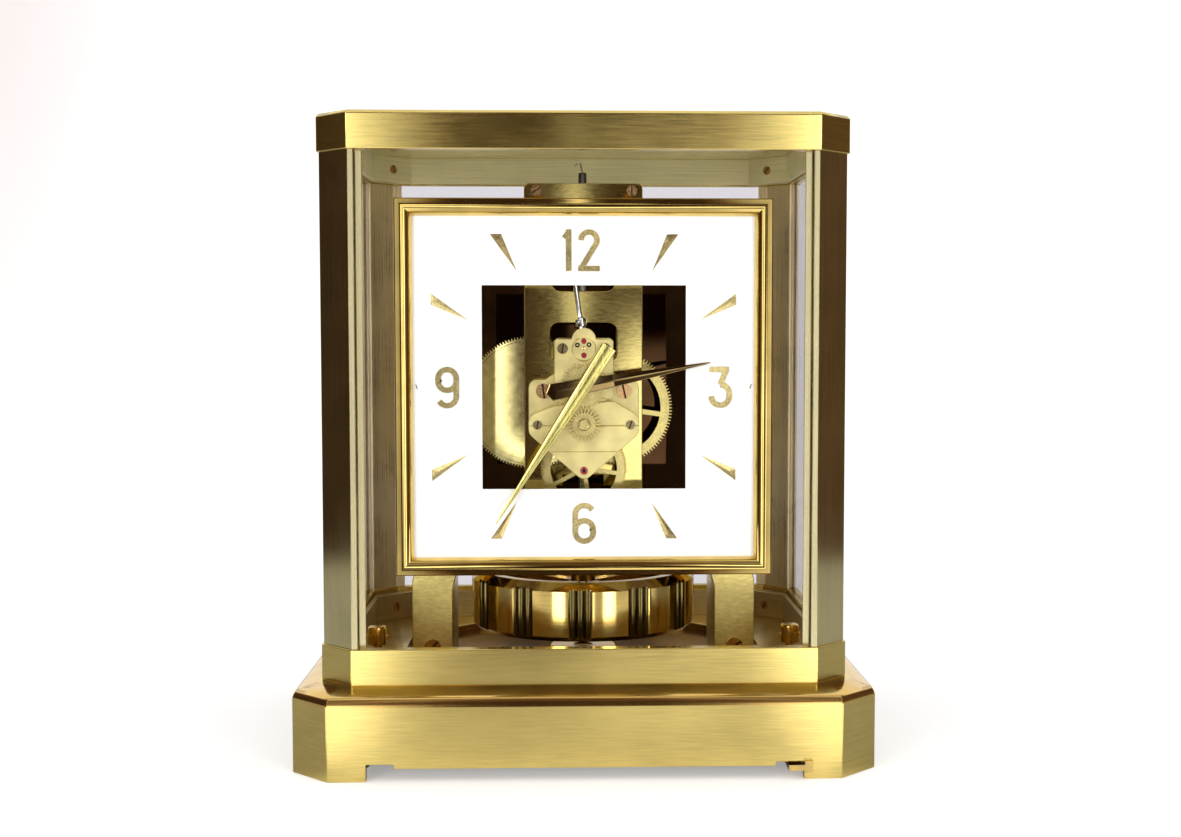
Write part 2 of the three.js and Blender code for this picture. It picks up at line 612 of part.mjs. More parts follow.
// Levelling feet: a knurled disc turns on each threaded stem and drives it down
function makeLevelling() {
  for (const [label, side] of [['left', -1], ['right', 1]]) {
    const [x, y] = [side * footPlace.x, footPlace.y];
    const outline = [];
    for (let k = 0; k < foot.knurls; k += 1) {
      const step = 2 * Math.PI / foot.knurls;
      outline.push(polar(foot.discRadius, k * step));
      outline.push(polar(foot.discRadius - foot.knurlDepth, (k + 0.5) * step));
    }
    const shape = roundedShape(outline.map(([u, v]) => [u + x, v + y]));
    const disc = slab(shape, foot.discBottom, foot.discBottom + foot.discThickness);
    const bore = barZ(foot.stemRadius + running, 0, deckBottom, x, y, round.shaft);
    add(`levelling_disc_${label}`, disc.subtract(bore), polishedBrass);
    const stem = turnedZ([
      [0, 0], [foot.padRadius, 0], [foot.padRadius, foot.padHeight], [foot.stemRadius, foot.padHeight],
      [foot.stemRadius, foot.stemTop], [0, foot.stemTop],
    ], x, y, round.shaft);
    add(`levelling_foot_${label}`, stem, steel);
  }
}

// Pendulum lock: a lever in the front notch lifts a plunger under the pendulum's spindle
function makeLock() {
  const leverTop = lockLever.bottom + lockLever.thickness;
  const pivot = leverPivot;
  const faceY = -plinthOctagon.y;
  const outside = faceY - running;
  const half = lockLever.armWidth / 2;
  const strip = (a, b) => {
    const along = new THREE.Vector2().subVectors(b, a).normalize().multiplyScalar(half);
    const [nx, ny] = [-along.y, along.x];
    return roundedShape([
      [a.x - along.x + nx, a.y - along.y + ny], [a.x - along.x - nx, a.y - along.y - ny],
      [b.x + along.x - nx, b.y + along.y - ny], [b.x + along.x + nx, b.y + along.y + ny],
    ]);
  };
  const notchX = skirtX - lockLever.notchSide;
  const tabFrom = skirtX + lockLever.tabGap;
  const tabTo = tabFrom + lockLever.tabWidth;
  const notchPoint = new THREE.Vector2(notchX, outside - lockLever.tabReach + half);
  const centre = new THREE.Vector2(0, 0);
  const piece = (shape) => slab(shape, lockLever.bottom, leverTop);
  const parts = [
    piece(strip(pivot, notchPoint)),
    piece(strip(pivot, centre)),
    barZ(lockLever.hubRadius, lockLever.bottom, leverTop, pivot.x, pivot.y, round.shaft),
    block(notchX, tabTo, outside - lockLever.tabReach, outside, lockLever.bottom, leverTop),
    block(tabFrom, tabTo, outside - lockLever.tabReach, outside, lockLever.tabBottom, lockLever.tabTop),
  ];
  // The ramp trails the inner arm, so it comes under the plunger as the arm sweeps back
  const ramp = new THREE.Shape();
  const plungerBottom = leverTop + running + lockLever.thickness / 2;
  const low = plungerBottom - running;
  const under = plunger.rodRadius + running;
  ramp.moveTo(-under, leverTop - lockLever.thickness / 2);
  ramp.lineTo(under + lockLever.rampLength, leverTop - lockLever.thickness / 2);
  ramp.lineTo(under + lockLever.rampLength, low + lockLever.rampHeight);
  ramp.lineTo(under, low);
  ramp.lineTo(-under, low);
  ramp.closePath();
  const wedge = new THREE.ExtrudeGeometry(ramp, { depth: lockLever.armWidth, bevelEnabled: false });
  wedge.translate(0, 0, -lockLever.armWidth / 2);
  wedge.rotateX(Math.PI / 2);
  wedge.rotateZ(Math.atan2(pivot.y, pivot.x) - Math.PI / 2);
  parts.push(solid(wedge));
  const bore = barZ(
    lockLever.pinRadius + running, lockLever.bottom - overrun, leverTop + overrun,
    pivot.x, pivot.y, round.shaft,
  );
  add('lock_lever', cut(join(parts), [bore]), polishedBrass);
  const discBottom = plunger.discTop - plunger.discThickness;
  add('lock_plunger', turnedZ([
    [0, plungerBottom], [plunger.rodRadius, plungerBottom], [plunger.rodRadius, discBottom],
    [plunger.discRadius, discBottom], [plunger.discRadius, plunger.discTop - plunger.rim],
    [plunger.discRadius - plunger.rim, plunger.discTop], [0, plunger.discTop],
  ], 0, 0, round.wheel), polishedBrass);
}

// Main frame: column, cross-piece and legs in one casting, with its bosses and pivot holes
function makeFrame() {
  const columnBack = column.front + column.thickness;
  const outline = mirroredShape([
    [leg.inner, deckBottom],
    [leg.outer, deckBottom],
    [leg.outer, leg.shoulderTop, leg.shoulderRadius],
    [column.halfWidth, leg.shoulderTop, leg.flareRadius],
    [column.halfWidth, column.top, column.topRounding],
  ]);
  const arch = mirroredShape([
    [leg.inner, deckBottom - overrun],
    [leg.inner, leg.archTop, leg.archRadius],
  ]);
  const full = (back) => plate(outline, column.front, back);
  const lower = block(
    -plinth.width, plinth.width, column.front - overrun, leg.back + overrun, 0, leg.crossTop,
  );
  const body = join([full(columnBack), full(leg.back).intersect(lower)]);
  const hole = (half, bottom, top) => plate(
    rectangle(-half, half, bottom, top, column.windowRounding), column.front - overrun, columnBack + overrun,
  );
  const tools = [
    plate(arch, column.front - overrun, leg.back + overrun),
    hole(column.slotHalf, column.slotBottom, column.slotTop),
    hole(column.windowHalf, column.windowBottom, column.windowTop),
    hole(column.archHalf, column.archBottom, column.archTop),
    barZ(tube.radius * 2, leg.archTop - overrun, leg.crossTop + overrun, 0, 0, round.shaft),
  ];
  const pivot = wheelSize.pivotRadius + arborPlay;
  const deep = column.thickness / 2;
  tools.push(barY(pivot, column.front - overrun, column.front + deep, arbor.centre));
  tools.push(barY(pivot, column.front - overrun, column.front + deep, arbor.minute));
  tools.push(barY(pivot, columnBack - deep, columnBack + overrun, arbor.great));
  tools.push(barY(pivot, columnBack - deep, columnBack + overrun, arbor.barrel));
  const bosses = [];
  for (const side of [-1, 1]) {
    tools.push(barY(
      legScrew.shankRadius + running, column.front - overrun, column.front + legScrew.shankLength + running,
      { x: side * (leg.inner + leg.outer) / 2, z: legScrew.height },
    ));
    bosses.push(barY(
      dialFoot.radius, dial.front + dial.thickness, column.front + overrun,
      { x: side * dialFoot.upperAcross, z: dial.centre + dial.half - dialFoot.upperInset },
    ));
    bosses.push(barY(
      dialFoot.radius, dial.front + dial.thickness, column.front + overrun,
      { x: side * dialFoot.lowerAcross, z: dial.centre - dial.half + dialFoot.lowerInset },
    ));
    bosses.push(barY(
      drumPost.radius, columnBack - overrun, drum.front,
      { x: side * drumPost.across, z: handsHeight + drum.radius - drumPost.inset },
    ));
  }
  add('main_frame', cut(join([body, ...bosses]), tools), brushedBrass);
}

// A cheese-head screw seen from the front: head, driver slot and shank
function screwBody(at, seat, size) {
  const head = barY(size.headRadius, seat - size.headThickness, seat, at, round.shaft);
  const shank = barY(size.shankRadius, seat - size.headThickness / 2, seat + size.shankLength, at);
  const half = size.slotWidth / 2;
  const slot = block(
    at.x - size.headRadius - overrun, at.x + size.headRadius + overrun,
    seat - size.headThickness - overrun, seat - size.headThickness + size.slotDepth, at.z - half, at.z + half,
  );
  return head.add(shank).subtract(slot);
}

function makeLegScrews() {
  for (const [name, side] of [['leg_screw_left', -1], ['leg_screw_right', 1]]) {
    const at = { x: side * (leg.inner + leg.outer) / 2, z: legScrew.height };
    add(name, screwBody(at, column.front, legScrew), copperGilt);
  }
}

// Suspension: a cross-piece behind the column's top, a clamp and the torsion wire
function makeSuspension() {
  const columnBack = column.front + column.thickness;
  const bar = block(-hanger.halfWidth, hanger.halfWidth, columnBack, hanger.back, hangerBottom, column.top);
  add('suspension_bridge', cut(bar, [
    barZ(hanger.bore, hangerBottom - overrun, column.top + overrun, 0, 0, round.shaft),
  ]), brushedBrass);
  const clampTop = column.top + clamp.height;
  add('suspension_clamp', cut(barZ(clamp.radius, column.top, clampTop, 0, 0, round.shaft), [
    barZ(clamp.bore, column.top - overrun, clampTop + overrun, 0, 0),
  ]), darkSteel);
  const wireBottom = tube.bottom + tube.plugHeight / 2;
  const peak = new THREE.Vector3(-wire.tailLean, 0, clampTop + wire.tailRise);
  const end = new THREE.Vector3(-wire.tailReach, 0, peak.z - wire.tailDrop);
  const exit = new THREE.Vector3(0, 0, clampTop + wire.radius);
  add('suspension_wire', join([
    barZ(wire.radius, wireBottom, exit.z + wire.radius, 0, 0, round.bend),
    rod(exit, peak, wire.radius, round.bend), rod(peak, end, wire.radius, round.bend),
  ]), steel);
  const pin = rod(
    new THREE.Vector3(0, -(tube.bore + tube.radius) / 2, tube.pinHeight),
    new THREE.Vector3(0, -tube.pinReach, tube.pinHeight), tube.pinRadius, round.bend,
  );
  const shell = cut(barZ(tube.radius, tube.bottom, tubeTop, 0, 0, round.shaft).add(pin), [
    barZ(tube.bore, tube.bottom + tube.plugHeight, tubeTop + overrun, 0, 0, round.shaft),
    barZ(tube.plugBore, tube.bottom - overrun, tubeTop, 0, 0),
  ]);
  add('suspension_tube', shell, steel);
}

// Torsion pendulum: a chamfered ring with clusters of flutes, on arms from a hub
function makePendulum() {
  const { radius, bottom, height } = pendulum;
  const top = bottom + height;
  const inner = radius - pendulum.thickness;
  const outline = [];
  const cluster = 2 * Math.PI / pendulum.clusters;
  const halfFlute = pendulum.fluteWidth / 2 / radius;
  for (let c = 0; c < pendulum.clusters; c += 1) {
    const centre = radians(pendulum.turn) - Math.PI / 2 + c * cluster;
    for (let f = 0; f < pendulum.flutes; f += 1) {
      const at = centre + (f - (pendulum.flutes - 1) / 2) * pendulum.flutePitch / radius;
      outline.push(polar(radius, at - halfFlute));
      outline.push(polar(radius - pendulum.fluteDepth, at));
      outline.push(polar(radius, at + halfFlute));
    }
    outline.push(polar(radius, centre + cluster / 2));
    const between = pendulum.flutePitch / radius + halfFlute;
    outline.splice(outline.length - 1, 0, polar(radius, centre + (cluster / 2 + between) / 2));
    outline.push(polar(radius, centre + cluster - (cluster / 2 + between) / 2));
  }
  const fluted = slab(roundedShape(outline), bottom - overrun, top + overrun);
  const turned = turnedZ([
    [inner, bottom], [radius - pendulum.lowChamfer, bottom],
    [radius + overrun, bottom + pendulum.lowChamfer + overrun],
    [radius + overrun, top - pendulum.topChamfer - overrun], [radius - pendulum.topChamfer, top],
    [inner, top], [inner, bottom],
  ], 0, 0, round.large);
  const armBottom = tube.bottom - pendulum.armHeight * 2;
  const parts = [fluted.intersect(turned)];
  for (let k = 0; k < pendulum.armCount / 2; k += 1) {
    const arm = new THREE.BoxGeometry(2 * inner + overrun, pendulum.armWidth, pendulum.armHeight);
    arm.translate(0, 0, armBottom + pendulum.armHeight / 2);
    arm.rotateZ(radians(pendulum.armTurn + k * 360 / pendulum.armCount));
    parts.push(solid(arm));
  }
  parts.push(barZ(pendulum.hubRadius, armBottom, tube.bottom, 0, 0, round.shaft));
  parts.push(barZ(pendulum.spindleRadius, pendulum.spindleBottom, armBottom + overrun, 0, 0));
  add('pendulum', join(parts), satinBrass);
}

// Movement plates
function makeMovementPlate() {
  const b = basePlate;
  const outline = mirroredShape([
    [b.tipHalf, b.tipBottom], [b.bottomHalf, b.sideBottom], [b.half, b.sideBottom + b.corner],
    [b.half, b.shoulder, b.corner], [b.shoulderHalf - b.corner, b.shoulder],
    [b.neckHalf, b.neckBottom], [b.neckHalf, b.top, b.corner / 2],
  ]);
  const pillars = [];
  for (const side of [-1, 1]) {
    const lowPillar = [b.lowPillarAcross, b.sideBottom + b.lowPillarRise];
    for (const [x, z] of [[b.screwAcross, b.screwHeight], lowPillar]) {
      pillars.push(barY(b.pillarRadius, layer.plateBack - b.headThickness, column.front, { x: side * x, z }));
    }
  }
  const pass = (at, radius) => barY(radius + arborPlay, layer.plateFront - overrun, column.front, at);
  const pivot = wheelSize.pivotRadius;
  const body = join([plate(outline, layer.plateFront, layer.plateBack), ...pillars]);
  add('movement_plate', cut(body, [
    pass(arbor.centre, wheelSize.arborRadius), pass(arbor.minute, wheelSize.arborRadius),
    pass(arbor.third, wheelSize.arborRadius), pass(arbor.escape, pivot), pass(arbor.pallet, pivot),
  ]), paleBrass);
}

function makeMovementScrews() {
  const radius = basePlate.screwRadius;
  const headFront = layer.plateFront - basePlate.headThickness;
  for (const [name, side] of [['movement_screw_left', -1], ['movement_screw_right', 1]]) {
    const at = { x: side * basePlate.screwAcross, z: basePlate.screwHeight };
    const head = barY(radius, headFront, layer.plateFront, at, round.shaft);
    const half = legScrew.slotWidth / 2;
    const slot = block(
      at.x - half, at.x + half, headFront - overrun, headFront + legScrew.slotDepth,
      at.z - radius - overrun, at.z + radius + overrun,
    );
    add(name, head.subtract(slot), copperGilt);
  }
}

function makeUpperBridge() {
  const b = bridge;
  const outline = rectangle(-b.upperHalf, b.upperHalf, b.upperBottom, b.upperTop, b.rounding);
  const boss = { x: 0, z: b.bossTop - b.bossRadius };
  const disc = { x: 0, z: b.discHeight };
  const feet = [];
  for (const side of [-1, 1]) {
    feet.push(barY(
      b.upperFootRadius, layer.bridgeBack - overrun, layer.plateFront,
      { x: side * b.upperScrewAcross, z: b.discHeight },
    ));
    const [x0, x1] = [side * b.upperHalf, side * (b.upperHalf - b.wallWidth)];
    feet.push(block(
      Math.min(x0, x1), Math.max(x0, x1), layer.bridgeBack - overrun, layer.plateFront,
      b.wallBottom, b.discHeight,
    ));
  }
  const body = join([
    plate(outline, layer.bridgeFront, layer.bridgeBack),
    barY(b.bossRadius, layer.bridgeFront, layer.bridgeBack, boss, round.wheel),
    barY(b.discRadius, layer.bridgeFront - b.discRise, layer.bridgeBack, disc, round.wheel),
    ...feet,
  ]);
  const pass = (at, radius) => barY(
    radius + arborPlay, layer.bridgeFront - b.discRise - overrun, layer.bridgeBack + overrun, at,
  );
  add('upper_bridge', cut(body, [
    pass(arbor.centre, wheelSize.arborRadius), pass(arbor.escape, wheelSize.pivotRadius),
    pass(arbor.pallet, wheelSize.pivotRadius),
  ]), paleBrass);
}

function makeLowerBridge() {
  const b = bridge;
  const lobe = b.lobeAcross + b.lobeRadius;
  const outline = roundedShape([
    [0, b.tipHeight - b.tipRadius * Math.SQRT2, b.tipRadius],
    [lobe, b.lobeHeight - b.lobeRadius, b.lobeRadius],
    [lobe, b.lobeHeight + b.lobeRadius, b.lobeRadius],
    [b.upperHalf, b.lowerTop, b.rounding],
    [-b.upperHalf, b.lowerTopLeft, b.rounding],
    [-lobe, b.lobeHeight + b.lobeRadius, b.lobeRadius],
    [-lobe, b.lobeHeight - b.lobeRadius, b.lobeRadius],
  ]);
  const sheet = plate(outline, layer.bridgeFront, layer.bridgeBack);
  const raised = plate(outline, layer.bridgeFront - b.rise, layer.bridgeBack).intersect(block(
    -lobe, lobe, layer.bridgeFront - b.rise - overrun, layer.bridgeBack, b.riseBottom, b.riseTop,
  ));
  const feet = [-1, 1].map((side) => barY(
    b.lobeRadius - running, layer.bridgeBack - overrun, layer.plateFront,
    { x: side * b.lobeAcross, z: b.lobeHeight }, round.shaft,
  ));
  const pass = (at, radius) => barY(
    radius + arborPlay, layer.bridgeFront - b.rise - overrun, layer.bridgeBack + overrun, at,
  );
  add('lower_bridge', cut(join([sheet, raised, ...feet]), [
    pass(arbor.minute, wheelSize.arborRadius), pass(arbor.third, wheelSize.pivotRadius),
  ]), paleBrass);
}

// Back bridge: carries the rear pivots of barrel, great wheel and third wheel
function makeBackBridge() {
  const b = backBridge;
  const outline = rectangle(-b.half, b.half, b.bottom, b.top, b.rounding);
  const columnBack = column.front + column.thickness;
  const openings = [
    plate(rectangle(-b.openHalf, b.openHalf, b.crossTop, b.top + b.half), layer.backBridgeFront - overrun,
      layer.backBridgeBack + overrun),
    plate(rectangle(-b.lowerOpenHalf, b.lowerOpenHalf, b.bottom - b.half, b.lowerOpenTop),
      layer.backBridgeFront - overrun, layer.backBridgeBack + overrun),
  ];
  const pillars = [];
  for (const side of [-1, 1]) {
    for (const z of [b.upperPillar, b.lowerPillar]) {
      const at = { x: side * b.pillarAcross, z };
      pillars.push(barY(b.pillarRadius, columnBack, layer.backBridgeBack - overrun, at));
    }
  }
  const pass = (at, radius) => barY(
    radius + arborPlay, layer.backBridgeFront - overrun, layer.backBridgeBack + overrun, at,
  );
  const body = cut(plate(outline, layer.backBridgeFront, layer.backBridgeBack), openings);
  add('back_bridge', cut(join([body, ...pillars]), [
    pass(arbor.barrel, wheelSize.rearArborRadius), pass(arbor.great, wheelSize.pivotRadius),
    pass(arbor.third, wheelSize.pivotRadius),
  ]), brushedBrass);
}

// Wheel train. Phases follow from the barrel outwards so that every pair is in mesh at rest.
const module = {
  barrel: modulePair(arbor.barrel, arbor.great, teeth.barrel, teeth.greatPinion),
  great: modulePair(arbor.great, arbor.third, teeth.great, teeth.thirdPinion),
  third: modulePair(arbor.third, arbor.minute, teeth.third, teeth.minutePinion),
  minute: modulePair(arbor.minute, arbor.centre, teeth.minuteWheel, teeth.cannon),
  hour: modulePair(arbor.minute, arbor.centre, teeth.hourPinion, teeth.hour),
  centre: modulePair(arbor.centre, arbor.escape, teeth.centre, teeth.escapePinion),
};
const phase = { barrel: 0 };
phase.greatPinion = meshedPhase(arbor.great, arbor.barrel, teeth.greatPinion, teeth.barrel, phase.barrel);
phase.great = 0;
phase.thirdPinion = meshedPhase(arbor.third, arbor.great, teeth.thirdPinion, teeth.great, phase.great);
phase.third = 0;
phase.minutePinion = meshedPhase(arbor.minute, arbor.third, teeth.minutePinion, teeth.third, phase.third);
phase.minuteWheel = 0;
phase.cannon = meshedPhase(arbor.centre, arbor.minute, teeth.cannon, teeth.minuteWheel, phase.minuteWheel);
phase.hourPinion = 0;
phase.hour = meshedPhase(arbor.centre, arbor.minute, teeth.hour, teeth.hourPinion, phase.hourPinion);
phase.centre = 0;
phase.escapePinion = meshedPhase(arbor.escape, arbor.centre, teeth.escapePinion, teeth.centre, phase.centre);

const pitchRoot = (count, mod) => mod * (count / 2 - tooth.dedendumShare);

// A toothed wheel between two places along Y, with spokes where asked for
function wheel(at, count, mod, turn, front, back, spokes) {
  let body = plate(placed(wheelOutline(count, mod, turn), at), front, back);
  if (spokes) {
    const rim = pitchRoot(count, mod) - spokes.rim;
    body = cut(body, spokeGaps(at, spokes.hub, rim, spokes.width, spokes.count, spokes.turn, front, back));
  }
  return body;
}

function pinion(at, count, mod, turn, front, back) {
  return plate(placed(pinionOutline(count, mod, turn), at), front, back);
}

function makeBarrel() {
  const at = arbor.barrel;
  const rimBack = layer.barrelFront + layer.barrelRim;
  const bore = wheelSize.rearArborRadius + arborPlay;
  const body = join([
    wheel(at, teeth.barrel, module.barrel, phase.barrel, layer.barrelFront, rimBack),
    barY(wheelSize.barrelBody, rimBack - overrun, layer.barrelBack, at, round.wheel),
  ]);
  const mouth = barY(
    wheelSize.barrelBoss, layer.barrelBack - wheelSize.barrelBossRise, layer.barrelBack + overrun, at,
    round.shaft,
  );
  add('mainspring_barrel', cut(body, [
    barY(bore, layer.barrelFront - overrun, layer.barrelBack + overrun, at, round.shaft), mouth,
  ]), paleBrass);
}

// Winding arbor through the barrel, with the chain's drum on its rear end
function makeWindingArbor() {
  const at = arbor.barrel;
  const columnBack = column.front + column.thickness;
  const w = winding;
  const middle = (w.front + w.back) / 2;
  add('winding_arbor', join([
    barY(wheelSize.pivotRadius, columnBack - column.thickness / 2 + running, columnBack + overrun, at),
    barY(wheelSize.rearArborRadius, columnBack + running, w.front + overrun, at),
    turnedY([
      [0, w.front], [w.drumRadius, w.front], [w.grooveRadius, middle - w.chain - running],
      [w.grooveRadius, middle + w.chain + running], [w.drumRadius, w.back], [0, w.back],
    ], at, round.shaft),
  ]), steel);
}

function makeGreatWheel() {
  const at = arbor.great;
  const columnBack = column.front + column.thickness;
  const back = layer.greatFront + layer.greatThickness;
  add('great_wheel', join([
    wheel(at, teeth.great, module.great, phase.great, layer.greatFront, back, {
      rim: wheelSize.greatRim, hub: wheelSize.greatHub, width: wheelSize.greatSpoke,
      count: wheelSize.spokes, turn: radians(wheelSize.greatTurn),
    }),
    wheel(at, teeth.greatPinion, module.barrel, phase.greatPinion,
      layer.barrelFront - layer.pinionPast, layer.barrelFront + layer.barrelRim + layer.pinionPast),
    barY(wheelSize.rearArborRadius, layer.barrelFront, layer.backBridgeFront - running, at),
    barY(wheelSize.pivotRadius, columnBack - column.thickness / 2 + running, layer.backBridgeBack, at),
  ]), paleBrass);
}

function makeThirdWheel() {
  const at = arbor.third;
  const back = layer.thirdFront + layer.thirdThickness;
  const greatBack = layer.greatFront + layer.greatThickness;
  add('third_wheel', join([
    wheel(at, teeth.third, module.third, phase.third, layer.thirdFront, back, {
      rim: wheelSize.thirdRim, hub: wheelSize.thirdHub, width: wheelSize.thirdSpoke,
      count: wheelSize.spokes, turn: radians(-90 + wheelSize.thirdTurn),
    }),
    pinion(at, teeth.thirdPinion, module.great, phase.thirdPinion,
      layer.greatFront - layer.pinionPast, greatBack + layer.pinionPast),
    barY(wheelSize.arborRadius, layer.bridgeBack + running, layer.backBridgeFront - running, at),
    barY(wheelSize.pivotRadius, layer.bridgeFront, layer.backBridgeBack, at),
  ]), paleBrass);
}

function makeMinuteWheel() {
  const at = arbor.minute;
  const wheelBack = layer.upperWheelFront + layer.wheelThickness;
  const hourBack = layer.hourFront + layer.hourThickness;
  const pinionFront = layer.thirdFront - layer.pinionPast;
  add('minute_wheel', join([
    wheel(at, teeth.minuteWheel, module.minute, phase.minuteWheel, layer.upperWheelFront, wheelBack),
    pinion(at, teeth.minutePinion, module.third, phase.minutePinion, pinionFront, layer.thirdPinionBack),
    wheel(at, teeth.hourPinion, module.hour, phase.hourPinion,
      layer.hourFront - layer.pinionPast, hourBack + layer.pinionPast),
    barY(wheelSize.hubSteel, layer.hourFront - wheelSize.hubRise, layer.hourFront, at, round.shaft),
    barY(wheelSize.arborRadius, layer.hourFront, layer.thirdPinionBack, at),
    barY(wheelSize.pivotRadius, layer.thirdPinionBack - overrun,
      column.front + column.thickness / 2 - running, at),
  ]), paleBrass);
}

// Hour wheel: turns with its pipe round the centre arbor and carries the hour hand
function makeHourWheel() {
  const at = arbor.centre;
  const back = layer.hourFront + layer.hourThickness;
  const pipeFront = hand.hourFront + hand.thickness;
  const body = join([
    wheel(at, teeth.hour, module.hour, phase.hour, layer.hourFront, back),
    barY(wheelSize.pipeRadius, pipeFront, layer.bridgeFront - bridge.rise, at, round.shaft),
  ]);
  const bore = barY(wheelSize.pipeBore, pipeFront - overrun, layer.bridgeFront, at, round.shaft);
  add('hour_wheel', body.subtract(bore), paleBrass);
}

function makeCentreArbor() {
  const at = arbor.centre;
  const upperBack = layer.upperWheelFront + layer.wheelThickness;
  const lowerBack = layer.lowerWheelFront + layer.wheelThickness;
  add('centre_arbor', join([
    pinion(at, teeth.cannon, module.minute, phase.cannon,
      layer.upperWheelFront - running / 2, upperBack + layer.pinionPast),
    wheel(at, teeth.centre, module.centre, phase.centre, layer.lowerWheelFront, lowerBack, {
      rim: wheelSize.centreRim, hub: wheelSize.centreHub, width: wheelSize.centreSpoke,
      count: wheelSize.centreSpokes, turn: 0,
    }),
    barY(wheelSize.arborRadius, hand.minuteFront + hand.thickness, column.front - running, at),
    barY(wheelSize.pivotRadius, column.front - overrun, column.front + column.thickness / 2 - running, at),
  ]), steel);
}

function makeEscapeWheel() {
  const at = arbor.escape;
  const outline = [];
  for (let k = 0; k < teeth.escape; k += 1) {
    const step = 2 * Math.PI / teeth.escape;
    outline.push(polar(wheelSize.escapeRadius, k * step));
    outline.push(polar(wheelSize.escapeRoot, (k + tooth.hollowFromShare) * step));
    outline.push(polar(wheelSize.escapeRoot, (k + tooth.hollowToShare) * step));
  }
  const lowerBack = layer.lowerWheelFront + layer.wheelThickness;
  add('escape_wheel', join([
    plate(placed(outline, at), layer.upperWheelFront, layer.upperWheelFront + layer.wheelThickness),
    pinion(at, teeth.escapePinion, module.centre, phase.escapePinion,
      layer.lowerWheelFront - layer.pinionPast, lowerBack + layer.pinionPast),
    barY(wheelSize.arborRadius, layer.upperWheelFront, lowerBack + layer.pinionPast, at),
    barY(wheelSize.pivotRadius, layer.bridgeFront, layer.plateBack, at),
  ]), paleBrass);
}

// Pallet lever: anchor over the escape wheel, and a rod up to the fork at the suspension tube
function makePalletLever() {
  const at = arbor.pallet;
  const l = lever;
  const lean = radians(90 - l.lean);
  const along = (r) => ({ x: at.x + r * Math.cos(lean), z: at.z + r * Math.sin(lean) });
  const point = (r, y) => new THREE.Vector3(along(r).x, y, along(r).z);
  const top = along(l.reach);
  const bend = l.reach - l.radius;
  const parts = [
    rod(point(0, l.layerPlace), point(l.reach, l.layerPlace), l.radius),
    rod(point(l.collarFrom, l.layerPlace), point(l.collarTo, l.layerPlace), l.collarRadius, round.shaft),
    rod(point(bend, l.layerPlace - l.radius), point(bend, l.forkFront + overrun), l.radius),
    barY(wheelSize.pivotRadius, layer.bridgeFront, layer.plateBack, at),
    barY(wheelSize.arborRadius, layer.bridgeBack + running, layer.plateFront - running, at),
  ];
  const half = l.forkGap + l.tineWidth;
  const shape = roundedShape([
    [top.x - half, l.forkFront], [top.x + half, l.forkFront], [top.x + half, l.forkBack],
    [top.x + l.forkGap, l.forkBack], [top.x + l.forkGap, l.forkFront + l.tineWidth],
    [top.x - l.forkGap, l.forkFront + l.tineWidth], [top.x - l.forkGap, l.forkBack],
    [top.x - half, l.forkBack],
  ]);
  const forkMiddle = point(bend, 0).z;
  parts.push(slab(shape, forkMiddle - l.forkThickness / 2, forkMiddle + l.forkThickness / 2));
  // The anchor stands square to the rod, so it leans with it at rest
  const palletInner = l.anchorHalf - l.palletWidth;
  const anchor = mirroredShape([
    [0, -l.anchorUnder], [palletInner, -l.anchorEnd], [palletInner, -l.palletDrop],
    [l.anchorHalf, -l.palletDrop], [l.anchorHalf, -l.anchorEnd + l.palletWidth], [0, l.anchorTop],
  ]);
  const anchorBody = plate(anchor, layer.upperWheelFront, layer.upperWheelFront + l.anchorThickness);
  parts.push(anchorBody.rotate([0, l.lean, 0]).translate([at.x, 0, at.z]));
  add('pallet_lever', join(parts), steel);
}

// Dial: a square plate with a square window, held in the bezel
const square = (half, centre) => rectangle(-half, half, centre - half, centre + half);

function makeDial() {
  const back = dial.front + dial.thickness;
  const opening = plate(square(dial.windowHalf, dial.centre), dial.front - overrun, back + overrun);
  add('dial_plate', plate(square(dial.half, dial.centre), dial.front, back).subtract(opening), whiteLacquer);
  const seat = plate(square(dial.half + bezel.play, dial.centre), dial.front, bezel.back + overrun);
  const lipFront = dial.front - bezel.lipDepth;
  const slope = bezelCavity(lipFront);
  const outer = plate(square(bezel.half, dial.centre), bezel.front, bezel.back);
  const mouth = plate(square(dial.opening, dial.centre), lipFront - overrun, dial.front + overrun);
  add('dial_bezel', cut(outer, [seat, slope, mouth]), polishedBrass);
}

// The bezel's hollow slope as a four-sided funnel with a curved profile
function bezelCavity(lipFront) {
  const steps = round.bend;
  const wide = bezel.half - bezel.rim;
  const rings = [];
  for (let k = 0; k <= steps; k += 1) {
    const a = (Math.PI / 2) * (k / steps);
    const half = dial.opening + (wide - dial.opening) * (1 - Math.cos(a));
    const y = lipFront + (bezel.front - lipFront) * Math.sin(a);
    rings.push([half, y]);
  }
  rings.push([wide, bezel.front - overrun]);
  const corners = rings.map(([half, y]) => [[1, 1], [-1, 1], [-1, -1], [1, -1]].map(
    ([sx, sz]) => new THREE.Vector3(sx * half, y, dial.centre + sz * half),
  ));
  const faces = [];
  corners.slice(1).forEach((next, k) => {
    const ringNow = corners[k];
    ringNow.forEach((a, i) => {
      const j = (i + 1) % ringNow.length;
      faces.push(a, ringNow[j], next[j], a, next[j], next[i]);
    });
  });
  const [first, last] = [corners[0], corners.at(-1)];
  faces.push(first[0], first[2], first[1], first[0], first[3], first[2]);
  faces.push(last[0], last[1], last[2], last[0], last[2], last[3]);
  return solid(new THREE.BufferGeometry().setFromPoints(faces));
}

